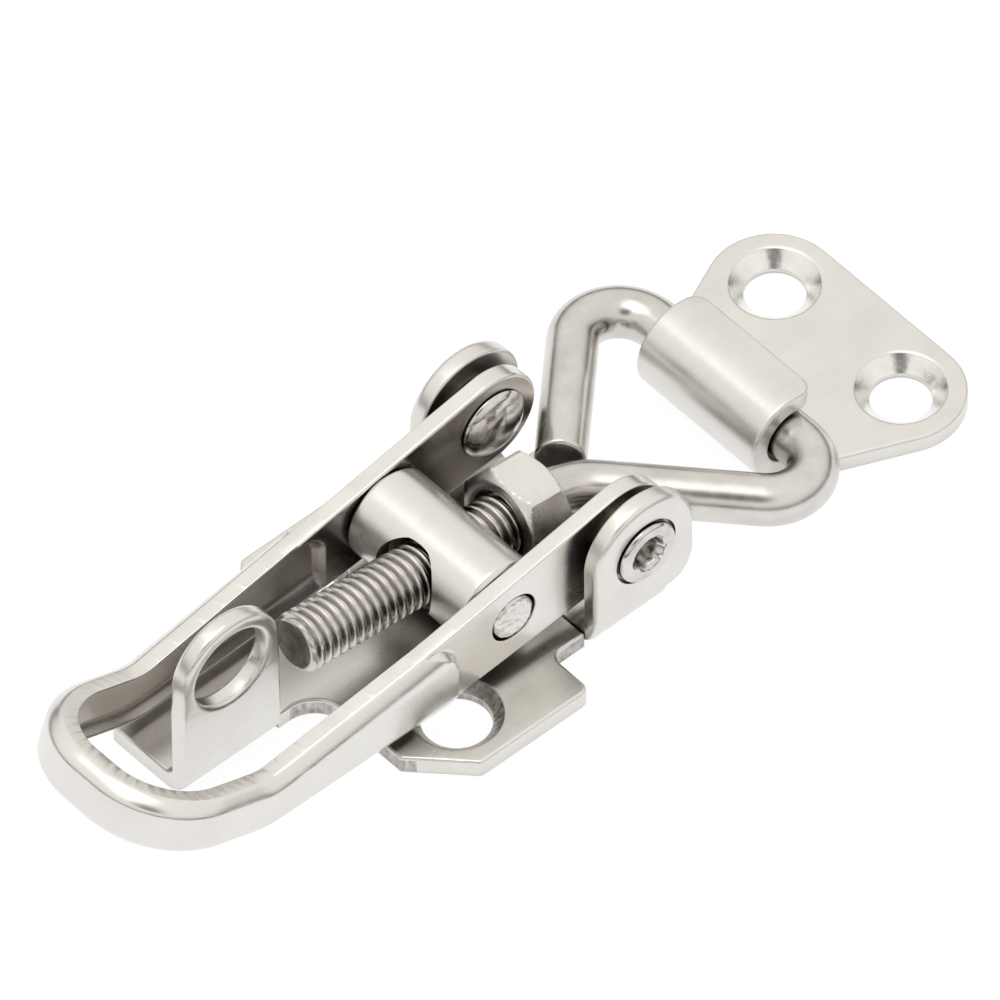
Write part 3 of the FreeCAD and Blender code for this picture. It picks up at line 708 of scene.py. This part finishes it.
def loop_frame(s):
    """Point on the near half of the loop's middle line with its up and outward directions."""
    a, b, c, d = loop_lengths()
    if s <= a:
        t = s / BEND_R
        p = Vector((BEND_X - BEND_R * math.sin(t), -LOOP_Y, MID_Z + BEND_R * (1 - math.cos(t))))
        return p, Vector((math.sin(t), 0, math.cos(t))), Vector((0, -1, 0))
    ahead = Vector((-math.cos(RISE), 0, math.sin(RISE)))
    up = Vector((math.sin(RISE), 0, math.cos(RISE)))
    start, _, _ = loop_frame(a)
    if s <= b:
        return start + ahead * (s - a), up, Vector((0, -1, 0))
    start = start + ahead * NOSE_RUN
    if s <= c:
        t = (s - b) / CORNER_R
        p = start + ahead * (CORNER_R * math.sin(t)) + Vector((0, CORNER_R * (1 - math.cos(t)), 0))
        return p, up, ahead * math.sin(t) + Vector((0, -math.cos(t), 0))
    p = start + ahead * CORNER_R + Vector((0, CORNER_R + (s - c), 0))
    return p, up, ahead


def smooth(f):
    """Ease from 0 to 1, level at both ends."""
    return f * f * (3 - 2 * f)


def bow_shape(rel):
    """Share of the full bow at a height from -1 to 1 across the band: flat rims, then a crease."""
    t = min(1.0, max(0.0, (1.0 - abs(rel)) / BOW_RIM))
    return BOW_CREASE * math.sin(t * QUARTER) + (1.0 - BOW_CREASE) * (1.0 - rel * rel)


def bow_depth(x, z, mid, half):
    """How far the sheet is pressed outward at this place of the arm."""
    front = BULGE_X
    rise = min(z, BULGE_TOP_Z) - (BULGE_TOP_Z - BULGE_CORNER)
    if rise > 0.0:
        front += math.sqrt(BULGE_CORNER ** 2 - rise ** 2) - BULGE_CORNER
    f = min(1.0, max(0.0, (front - x) / BULGE_EASE))
    return BOW * smooth(f) * bow_shape((z - mid) / half)


def map_handle(co, total):
    """Flat strip (length from the near pivot, height, thickness) to the bent lever."""
    s, u, w = co
    near = s <= total / 2
    run = s if near else total - s
    offset = w - HANDLE_SHEET / 2
    arm = PIVOT.x - BEND_X
    if run < arm:
        x = PIVOT.x - run
        top, low = arm_edges(x)
        mid = (top + low) / 2
        half = (top - low) / 2
        depth = bow_depth(x, u, mid, half)
        inset = (ARM_Y - LOOP_Y) * max(0.0, (KNEE_X - x) / (KNEE_X - BEND_X))
        p = Vector((x, -ARM_Y + inset - offset - depth, u))
    else:
        point, up, out = loop_frame(run - arm)
        rel = (u - MID_Z) / HALF_BAND
        depth = BOW * bow_shape(rel)
        p = point + up * (u - MID_Z) + out * (offset + depth)
    return p if near else Vector((p.x, -p.y, p.z))


def lever_handle():
    arm = PIVOT.x - BEND_X
    total = 2 * (arm + loop_lengths()[3])

    start_top = math.degrees(math.atan(TOP_SLOPE))
    start_low = math.degrees(math.atan(LOW_SLOPE))
    near_end = arc(0.0, PIVOT.z, ARM_END, 90 - start_top, 270 - start_low, 6.0)
    near_end += [(PIVOT.x - KNEE_X, arm_low(KNEE_X)), (arm, MID_Z - HALF_BAND)]
    far_end = [(total - s, z) for s, z in reversed(near_end)]
    knee = PIVOT.x - KNEE_X
    points = near_end + far_end
    points += [(total - knee, arm_top(KNEE_X)), (total - arm, MID_Z + HALF_BAND)]
    points += [(arm, MID_Z + HALF_BAND), (knee, arm_top(KNEE_X))]
    outline = subdivide(points, 1.2)

    edges = everywhere(rounded_levels(HANDLE_SHEET, *HANDLE_EDGES))
    hole_edges = everywhere(rounded_levels(HANDLE_SHEET, HANDLE_HOLE_EDGE, HANDLE_HOLE_EDGE))
    smooth_wall = everywhere(False)
    pin_s = PIVOT.x - TRUNNION.x
    loops = [
        (outline, edges, smooth_wall),
        (ring(0.0, PIVOT.z, RIVET_HOLE_R, 48), hole_edges, smooth_wall),
        (ring(total, PIVOT.z, RIVET_HOLE_R, 48), hole_edges, smooth_wall),
        (ring(pin_s, TRUNNION.z, PIN_HOLE_R, 60), hole_edges, smooth_wall),
        (ring(total - pin_s, TRUNNION.z, PIN_HOLE_R, 60), hole_edges, smooth_wall),
    ]
    # The low face, the lever's inside, takes the darker painted-shade copy of the steel.
    bm = plate(loops, 1)
    # Close cuts where the bulge begins, wide ones along the arm, then close ones round the loop.
    tip = PIVOT.x - BULGE_X
    cuts = spread(tip - 0.2, tip + 5.0, 0.25) + spread(tip + 5.8, arm, 1.2)
    cuts += spread(arm + 0.4, total / 2 - 0.01, 0.55)
    slice_at(bm, 0, cuts)
    slice_at(bm, 0, [total - c for c in cuts])
    slice_at(bm, 1, spread(*BULGE_CUTS_Z, 0.4))
    for vert in bm.verts:
        vert.co = map_handle(vert.co, total)
    make_object("lever_handle_pressed", bm, ("handle", "inside"), "handle", "lever_handle")


# --------------------------------------------------------------- pivot rivets

def hammered(amount, scale, seed):
    """Small random relief, the same every time, for upset metal."""
    def move(p):
        q = Vector((p.x * scale + seed, p.y * scale, p.z * scale))
        return p + Vector((noise.noise(q), noise.noise(q + Vector((7, 3, 1))),
                           noise.noise(q + Vector((2, 9, 4))))) * amount
    return move


# Pivot rivet as (radius, distance from the middle plane): domed head inside the arm, collar
# between arm and ear, and the end rolled over outside the ear with a rough hollow.
HEAD_Y = 7.9
HEAD_R = 3.7
DOME_DROPS = ((0.0, 1.35), (0.9, 1.32), (1.8, 1.2), (2.6, 0.95), (3.2, 0.62), (3.6, 0.25))
SHANK_R = 2.42
COLLAR_R = 3.3
COLLAR_Y = (9.9, 11.0)
ROLL_Y = 12.45
ROLLED_RIM = [(3.2, 12.5), (3.3, 13.1), (3.12, 13.46), (2.7, 13.6), (2.2, 13.55),
              (1.85, 13.3)]
HOLLOW = [(1.6, 12.7), (1.45, 12.0), (1.2, 11.4), (0.6, 11.1), (0.0, 11.0)]
HOLLOW_ROUGH_Y = 10.9
HOLLOW_ROUGH_R = 2.05


def pivot_rivet(name, side):
    """One pivot rivet, on the far side (1) or the near side (-1)."""
    profile = [(r, HEAD_Y - drop) for r, drop in DOME_DROPS]
    profile += [(HEAD_R, HEAD_Y), (SHANK_R, HEAD_Y), (SHANK_R, COLLAR_Y[0]),
                (COLLAR_R, COLLAR_Y[0]), (COLLAR_R, COLLAR_Y[1]), (SHANK_R, COLLAR_Y[1]),
                (SHANK_R, ROLL_Y)]
    profile += ROLLED_RIM + HOLLOW
    rough = hammered(0.16, 1.3, 3.0 if side > 0 else 8.0)

    def wave(p):
        from_axis = Vector((p.x, p.y)).length
        return rough(p) if p.z > HOLLOW_ROUGH_Y and from_axis < HOLLOW_ROUGH_R else p

    bm = turned(fillet_profile(profile, 0.16, 3), 72, wave)
    place(bm, (PIVOT.x, 0.0, PIVOT.z), (1, 0, 0), (0, side, 0))
    make_object(name + "_formed", bm, ("rivet",), "base", name)


# ------------------------------------------------------------ trunnion barrel

# Half lengths are from the middle plane, except the bore's, which run along the rod.
BARREL_HALF = 7.92
BARREL_R = 4.75
BARREL_CHAMFER = 0.4
PIN_R = 2.35
PIN_REACH = 10.0
PIN_ROUGH_Y = 9.7
BORE_R = 3.06
BORE_HALF = 2.5
FLARE_R = 3.75
FLARE_HALF = 3.2
CUTTER_HALF = 6.0

# The peened pin end, as (radius, drop from its tip).
PIN_FACE = ((0.0, 0.12), (0.5, 0.1), (1.0, 0.1), (1.5, 0.02), (1.85, 0.0), (PIN_R - 0.2, 0.15),
            (PIN_R, 0.5))


def trunnion_barrel():
    """Turned cross bar with a peened pin at each end and the rod's flared clearance bore."""
    side = [(r, PIN_REACH - drop) for r, drop in PIN_FACE]
    side += [(PIN_R, BARREL_HALF), (BARREL_R - BARREL_CHAMFER, BARREL_HALF),
             (BARREL_R, BARREL_HALF - BARREL_CHAMFER)]
    profile = side + [(r, -h) for r, h in reversed(side)]
    rough = hammered(0.07, 2.2, 5.0)

    def wave(p):
        return rough(p) if abs(p.z) > PIN_ROUGH_Y else p

    bm = turned(fillet_profile(profile, 0.12, 3), 120, wave)
    slice_at(bm, 2, spread(-7.0, 7.0, 1.0))
    bmesh.ops.recalc_face_normals(bm, faces=bm.faces[:])
    rod_way = (math.cos(ROD_TILT), 0, -math.sin(ROD_TILT))
    place(bm, TRUNNION, rod_way, (0, 1, 0))
    half_bore = [(BORE_R, BORE_HALF), (FLARE_R, FLARE_HALF), (FLARE_R, CUTTER_HALF),
                 (0.0, CUTTER_HALF)]
    cutter = turned([(r, -h) for r, h in reversed(half_bore)] + half_bore, 96)
    place(cutter, TRUNNION, (0, 1, 0), rod_way)
    carve(bm, cutter)
    make_object("trunnion_barrel_turned", bm, ("barrel",), "trunnion", "trunnion_barrel")


def carve(bm, cutter):
    """Boolean cut of one millimetre mesh by another, in place."""
    objects = []
    for label, source in (("stock", bm), ("tool", cutter)):
        bmesh.ops.recalc_face_normals(source, faces=source.faces[:])
        objects.append(add_mesh_object(label, source))
    cut = objects[0].modifiers.new("cut", "BOOLEAN")
    cut.object = objects[1]
    cut.operation = "DIFFERENCE"
    cut.solver = "EXACT"
    graph = bpy.context.evaluated_depsgraph_get()
    result = bpy.data.meshes.new_from_object(objects[0].evaluated_get(graph))
    bm.clear()
    bm.from_mesh(result)
    for obj in objects:
        bpy.data.objects.remove(obj)
    cutter.free()


# ------------------------------------------------------------------- bail rod

# Along the rod from the barrel's middle, before the rod is tilted into place. The thread's flat
# root and its flank are shares of half a pitch.
THREAD_R = 3.0
THREAD_DEPTH = 0.6
THREAD_START = -18.2
THREAD_END = 12.4
THREAD_FADE = 1.2
THREAD_ROOT = 0.12
THREAD_FLANK = 0.66
TIP_CHAMFER = 0.5
TIP_SLOPE = 1.1
PITCH = 1.0
ROD_R = 2.45
ROD_AROUND = 48
FORK = Vector((15.4, 0, 0))
FORK_BEND = 7.0
NEAR_APEX = Vector((35.7, -20.0, 0))
FAR_APEX = Vector((35.7, 20.7, 0))
APEX_BEND = 4.5
FREE_END = Vector((16.9, 2.65, 0))


def thread_radius(x, angle):
    """Radius of the rolled thread: round crests and roots, fading out at the far end."""
    phase = (x / PITCH - angle / (2 * math.pi)) % 1.0
    tri = 1.0 - abs(2 * phase - 1.0)
    shape = smooth(min(1.0, max(0.0, (tri - THREAD_ROOT) / THREAD_FLANK)))
    deep = THREAD_R - THREAD_DEPTH * (1 - shape)
    lead = min(1.0, max(0.0, (THREAD_END - x) / THREAD_FADE))
    r = ROD_R + (deep - ROD_R) * lead
    tip = THREAD_R - TIP_CHAMFER + max(0.0, x - THREAD_START) * TIP_SLOPE
    return min(r, tip)


def corner_points(before, corner, after, radius, step_deg=6.0):
    """Points along the bend that rounds the corner between two straight runs."""
    a = (before - corner).normalized()
    b = (after - corner).normalized()
    half = a.angle(b) / 2
    middle = (a + b).normalized()
    centre = corner + middle * (radius / math.sin(half))
    start = corner + a * (radius / math.tan(half))
    end = corner + b * (radius / math.tan(half))
    u = start - centre
    v = end - centre
    total = u.angle(v)
    count = max(3, int(math.degrees(total) / step_deg))
    axis = u.cross(v).normalized()
    return [centre + Matrix.Rotation(total * i / count, 3, axis) @ u for i in range(count + 1)]


def row_across(bm, p, side, radius):
    """Ring of vertices round the bent rod; side is level and square to the rod's run."""
    row = []
    for i in range(ROD_AROUND):
        a = 2 * math.pi * i / ROD_AROUND
        offset = side * (radius * math.cos(a)) + Vector((0, 0, radius * math.sin(a)))
        row.append(bm.verts.new(p + offset))
    return row


def bent_run():
    """Middle line from the thread's end round the triangle to the free end, closely spaced."""
    corners = corner_points(Vector((THREAD_END, 0, 0)), FORK, NEAR_APEX, FORK_BEND)
    corners += corner_points(FORK, NEAR_APEX, FAR_APEX, APEX_BEND)
    corners += corner_points(NEAR_APEX, FAR_APEX, FREE_END, APEX_BEND)
    path = []
    for p, q in zip(corners, corners[1:]):
        count = max(1, int((q - p).length / LONGEST_SIDE))
        path += [p + (q - p) * (i / count) for i in range(count)]
    last = (FREE_END - corners[-1]).normalized()
    return path + [corners[-1], FREE_END - last * 0.35, FREE_END - last * 0.1, FREE_END]


def bail_rod():
    """Threaded end, then the rod bent to a triangle whose free end stops beside the first leg."""
    bm = bmesh.new()
    rings = [[bm.verts.new((THREAD_START + 0.05, 0, 0))]]
    for f in (0.35, 0.7, 0.93):
        flat_r = (THREAD_R - TIP_CHAMFER) * f
        rings.append(row_about_x(bm, THREAD_START, ROD_AROUND, everywhere(flat_r)))
    steps = int((THREAD_END - THREAD_START) / (PITCH / 12))
    for k in range(steps + 1):
        x = THREAD_START + (THREAD_END - THREAD_START) * k / steps
        rings.append(row_about_x(bm, x, ROD_AROUND, lambda a: thread_radius(x, a)))
    path = bent_run()
    shrink = {len(path) - 1: 0.86, len(path) - 2: 0.965}
    for k, p in enumerate(path):
        before = path[k - 1] if k > 0 else p - Vector((1, 0, 0))
        after = path[min(len(path) - 1, k + 1)]
        run = (after - before).normalized()
        side = Vector((-run.y, run.x, 0))
        rings.append(row_across(bm, p, side, ROD_R * shrink.get(k, 1.0)))
    for f in (0.6, 0.3):
        rings.append(row_across(bm, FREE_END, side, ROD_R * f))
    rings.append([bm.verts.new(FREE_END)])
    join_rings(bm, rings)
    faces = list(bm.faces)
    end_faces = ROD_AROUND * 3
    for face in faces[:end_faces] + faces[-end_faces:]:
        face.material_index = 1
    onto_rod(bm)
    make_object("bail_rod_bent", bm, ("rod", "cut"), "bail", "bail_rod", 60.0)


# ------------------------------------------------------------------- lock nut

NUT_HALF = 2.5
NUT_FLAT = 4.9
NUT_MIDDLE = 9.4
NUT_TURN = math.radians(5.0)
NUT_AROUND = 144
NUT_FACE_R = NUT_FLAT * 0.955
NUT_CORNER_ROUND = 0.12

# The bore's mouth as (radius, depth), and the face's rim and chamfer as (depth, radius): a
# small step, then a cone that the hexagon's flats cut.
NUT_MOUTH = ((3.06, 0.55), (3.45, 0.04), (3.6, 0.0))
NUT_RIM = ((0.0, -0.12), (0.03, -0.03), (0.08, 0.06))
NUT_CONE_STEP = (0.13, 0.17)
NUT_CONE_STEPS = 7


def lock_nut():
    """Hexagon nut, both faces chamfered, with a clear bore for the rod."""
    side = [(depth, NUT_FACE_R + grown) for depth, grown in NUT_RIM]
    depth, radius = side[-1]
    for k in range(1, NUT_CONE_STEPS + 1):
        side.append((depth + NUT_CONE_STEP[0] * k, radius + NUT_CONE_STEP[1] * k))
    bm = bmesh.new()
    rows = []

    def round_row(x, radius):
        rows.append(row_about_x(bm, x, NUT_AROUND, everywhere(radius)))

    def hex_row(x, limit):
        rows.append(row_about_x(bm, x, NUT_AROUND, lambda a: min(limit, hex_radius(a, NUT_FLAT))))

    for radius, depth in NUT_MOUTH:
        round_row(depth - NUT_HALF, radius)
    for depth, radius in side:
        hex_row(depth - NUT_HALF, radius)
    for x in (-1.2, 0.0, 1.2):
        hex_row(x, math.inf)
    for depth, radius in reversed(side):
        hex_row(NUT_HALF - depth, radius)
    for radius, depth in reversed(NUT_MOUTH):
        round_row(NUT_HALF - depth, radius)
    join_rings(bm, rows)
    for i in range(NUT_AROUND):
        j = (i + 1) % NUT_AROUND
        bm.faces.new((rows[-1][i], rows[-1][j], rows[0][j], rows[0][i]))
    bm.transform(Matrix.Translation((NUT_MIDDLE, 0, 0)) @ Matrix.Rotation(NUT_TURN, 4, "X"))
    onto_rod(bm)
    make_object("lock_nut_hex", bm, ("nut",), "nut", "lock_nut", 24.0)


def hex_radius(angle, flat):
    """Distance to a hexagon's side, corners at 0, 60 ... degrees, slightly rounded."""
    a = math.degrees(angle) % 60
    r = flat / math.cos(math.radians(a - 30))
    sharp = flat / math.cos(math.radians(30))
    return min(r, sharp - NUT_CORNER_ROUND)


# ---------------------------------------------------------------- catch plate

# Hook: outer radius and sweep of the roll over the bail's bar, straight flap, half width, its
# end's corners, and how much wider the plate starts.
HOOK_OUT = 4.8
HOOK_SWEEP = math.radians(190.0)
HOOK_FLAP = 2.2
HOOK_HALF = 8.0
HOOK_CORNER = 1.6
HOOK_WIDENING = 0.25

# Plate: the round corners about the screw holes, and where its sides meet the hook.
CATCH_CORNER = (56.0, 8.6)
CATCH_CORNER_R = 6.3
CATCH_ROOT = (45.0, 10.6)
CATCH_SCREW = (56.2, 8.6)
CATCH_SCREW_R = 2.9
CATCH_EDGES = (0.35, 0.3)
CATCH_SINK = [(0.12, 0.0), (0.03, 0.03), (0.0, 0.12), (0.0, 0.5), (0.05, 0.6),
              (1.36, 1.86), (1.46, 1.94), (1.62, 1.985), (1.8, SHEET)]


def bend_catch(co):
    """Roll the tongue of the flat pattern up and over the bail's bar."""
    x, y, w = co
    if x >= BAR.x:
        return Vector((x, y, w))
    out, z = bend(BAR.x - x, w, 0.0, HOOK_OUT, HOOK_SWEEP)
    return Vector((BAR.x - out, y, z))


def catch_outline(end):
    """Flat pattern of the catch: a rounded triangle towards +X and the hook's tongue to end."""
    cx, cy = CATCH_CORNER
    root_x, root_y = CATCH_ROOT
    reach = math.dist(CATCH_CORNER, CATCH_ROOT)
    base = math.degrees(math.atan2(root_y - cy, root_x - cx))
    tangent = base - math.degrees(math.acos(CATCH_CORNER_R / reach))
    half = [(root_x, root_y), (BAR.x + 0.4, HOOK_HALF + HOOK_WIDENING), (BAR.x - 0.2, HOOK_HALF)]
    flap_x = end + HOOK_CORNER
    flap_y = HOOK_HALF - HOOK_CORNER
    points = arc(cx, -cy, CATCH_CORNER_R, -tangent, 0, 6.0)
    points += arc(cx, cy, CATCH_CORNER_R, 0, tangent, 6.0)
    points += half
    points += arc(flap_x, flap_y, HOOK_CORNER, 90, 180, 11.25)
    points += arc(flap_x, -flap_y, HOOK_CORNER, 180, 270, 11.25)
    return points + [(x, -y) for x, y in reversed(half)]


def catch_plate():
    length = (HOOK_OUT - SHEET / 2) * HOOK_SWEEP + HOOK_FLAP
    end = BAR.x - length
    screw_x, screw_y = CATCH_SCREW
    loops = [
        (subdivide(catch_outline(end), LONGEST_SIDE),
         everywhere(rounded_levels(SHEET, *CATCH_EDGES)), everywhere(False)),
        (ring(screw_x, -screw_y, CATCH_SCREW_R), everywhere(CATCH_SINK), everywhere(True)),
        (ring(screw_x, screw_y, CATCH_SCREW_R), everywhere(CATCH_SINK), everywhere(True)),
    ]
    bm = plate(loops)
    slice_at(bm, 0, spread(BAR.x, end + HOOK_FLAP, 0.4))
    for vert in bm.verts:
        vert.co = bend_catch(vert.co)
    make_object("catch_plate_pressed", bm, ("sheet", "sunk"), "catch", "catch_plate")


# ---------------------------------------------------------------------- stage

# Grey of the surrounding light against height, and against how nearly a ray runs to the lens;
# then the paper's glow, the share of light it returns, its grain and its drop below the plane.
TENT = [(0.0, 0.10), (0.10, 0.08), (0.19, 0.52), (0.32, 0.84), (0.5, 0.92), (1.0, 0.93)]
LENS_SPOT = [(0.0, 1.0), (0.955, 1.0), (0.985, 0.22), (1.0, 0.12)]
LENS_WAY = (-0.432, -0.492, 0.756)
TENT_STRENGTH = 1.12
PAPER_GLOW = 0.96
PAPER_SHARE = 0.08
PAPER_GRAIN = 0.985
PAPER_DROP = 0.2


def greys(*levels):
    """One neutral colour for each level."""
    return [(level, level, level) for level in levels]


def paper():
    """White paper that mostly glows by itself and returns only a share of the light."""
    n = Nodes("white paper")
    grain = n.noise((60, 60, 60), 2.0)
    n.set("Base Color", n.mix_colour(grain, *greys(PAPER_SHARE * PAPER_GRAIN, PAPER_SHARE)))
    n.set("Roughness", 0.8)
    n.set("Emission Color", n.mix_colour(grain, *greys(PAPER_GRAIN, 1.0)))
    n.set("Emission Strength", PAPER_GLOW)
    return n.material


def floor():
    """A wide sheet of paper just below the mounting plane."""
    bm = bmesh.new()
    bmesh.ops.create_grid(bm, x_segments=1, y_segments=1, size=3.0)
    bm.transform(Matrix.Translation((0.0, 0.0, -PAPER_DROP * MM)))
    obj = add_mesh_object("floor", bm)
    bm.free()
    obj.data.materials.append(paper())


def area_light(name, place_at, aim, size, power):
    data = bpy.data.lights.new(name, "AREA")
    data.shape = "RECTANGLE"
    data.size = size
    data.size_y = size
    data.energy = power
    obj = bpy.data.objects.new(name, data)
    obj.location = place_at
    obj.rotation_euler = (Vector(aim) - Vector(place_at)).to_track_quat("-Z", "Y").to_euler()
    bpy.context.scene.collection.objects.link(obj)


def studio_world():
    """A white tent above a thin dark horizon, with a dim round spot where the lens looks in."""
    world = bpy.data.worlds.new("studio")
    bpy.context.scene.world = world
    world.use_nodes = True
    tree = world.node_tree
    background = tree.nodes["Background"]
    coords = tree.nodes.new("ShaderNodeTexCoord")
    split = tree.nodes.new("ShaderNodeSeparateXYZ")
    tree.links.new(coords.outputs["Generated"], split.inputs["Vector"])
    tent = grey_ramp(tree, split.outputs["Z"], TENT)
    toward = tree.nodes.new("ShaderNodeVectorMath")
    toward.operation = "DOT_PRODUCT"
    toward.inputs[1].default_value = LENS_WAY
    tree.links.new(coords.outputs["Generated"], toward.inputs[0])
    spot = grey_ramp(tree, toward.outputs["Value"], LENS_SPOT)
    mix = tree.nodes.new("ShaderNodeMix")
    mix.data_type = "RGBA"
    mix.blend_type = "MULTIPLY"
    mix.inputs["Factor"].default_value = 1.0
    tree.links.new(tent, mix.inputs[COLOUR_A])
    tree.links.new(spot, mix.inputs[COLOUR_B])
    tree.links.new(mix.outputs[COLOUR_OUT], background.inputs["Color"])
    background.inputs["Strength"].default_value = TENT_STRENGTH


def grey_ramp(tree, source, stops):
    """Warm grey levels against a value, from (position, level) pairs."""
    ramp = tree.nodes.new("ShaderNodeValToRGB")
    tree.links.new(source, ramp.inputs["Fac"])
    ramp.color_ramp.elements[0].position = stops[0][0]
    ramp.color_ramp.elements[1].position = stops[-1][0]
    for position, _ in stops[1:-1]:
        ramp.color_ramp.elements.new(position)
    for element, (_, level) in zip(ramp.color_ramp.elements, stops):
        element.color = (level, level * 0.99, level * 0.97, 1.0)
    return ramp.outputs["Color"]


def stage():
    floor()
    studio_world()
    area_light("top box", (-0.10, 0.05, 0.60), (0.0, 0.0, 0.0), size=0.45, power=0.6)
    bpy.context.scene.view_settings.view_transform = "Standard"


# Viewing angle, distance and the point looked at, in metres, with the view's width there.
AZIMUTH = math.radians(-41.3)
ELEVATION = math.radians(49.07)
VIEW_ROLL = math.radians(-0.73)
DISTANCE = 4.0
TARGET = Vector((16.56, 2.02, 7.98)) * MM
SENSOR = 36.0
VIEW_WIDTH = 0.09107


def camera():
    """Looks down from the near side, a little to the left, through a long lens."""
    right = Vector((math.cos(AZIMUTH), math.sin(AZIMUTH), 0))
    up = Vector((-math.sin(AZIMUTH) * math.sin(ELEVATION), math.cos(AZIMUTH) * math.sin(ELEVATION),
                 math.cos(ELEVATION)))
    back = right.cross(up)
    x = right * math.cos(VIEW_ROLL) + up * math.sin(VIEW_ROLL)
    y = up * math.cos(VIEW_ROLL) - right * math.sin(VIEW_ROLL)
    data = bpy.data.cameras.new("camera")
    data.sensor_width = SENSOR
    data.lens = SENSOR * DISTANCE / VIEW_WIDTH
    data.clip_start = 0.1
    data.clip_end = 20.0
    obj = bpy.data.objects.new("camera", data)
    turn = Matrix((x, y, back)).transposed().to_4x4()
    obj.matrix_world = Matrix.Translation(TARGET + back * DISTANCE) @ turn
    bpy.context.scene.collection.objects.link(obj)
    bpy.context.scene.camera = obj


base_plate()
lever_handle()
pivot_rivet("pivot_rivet_left", 1)
pivot_rivet("pivot_rivet_right", -1)
trunnion_barrel()
bail_rod()
lock_nut()
catch_plate()
stage()
camera()
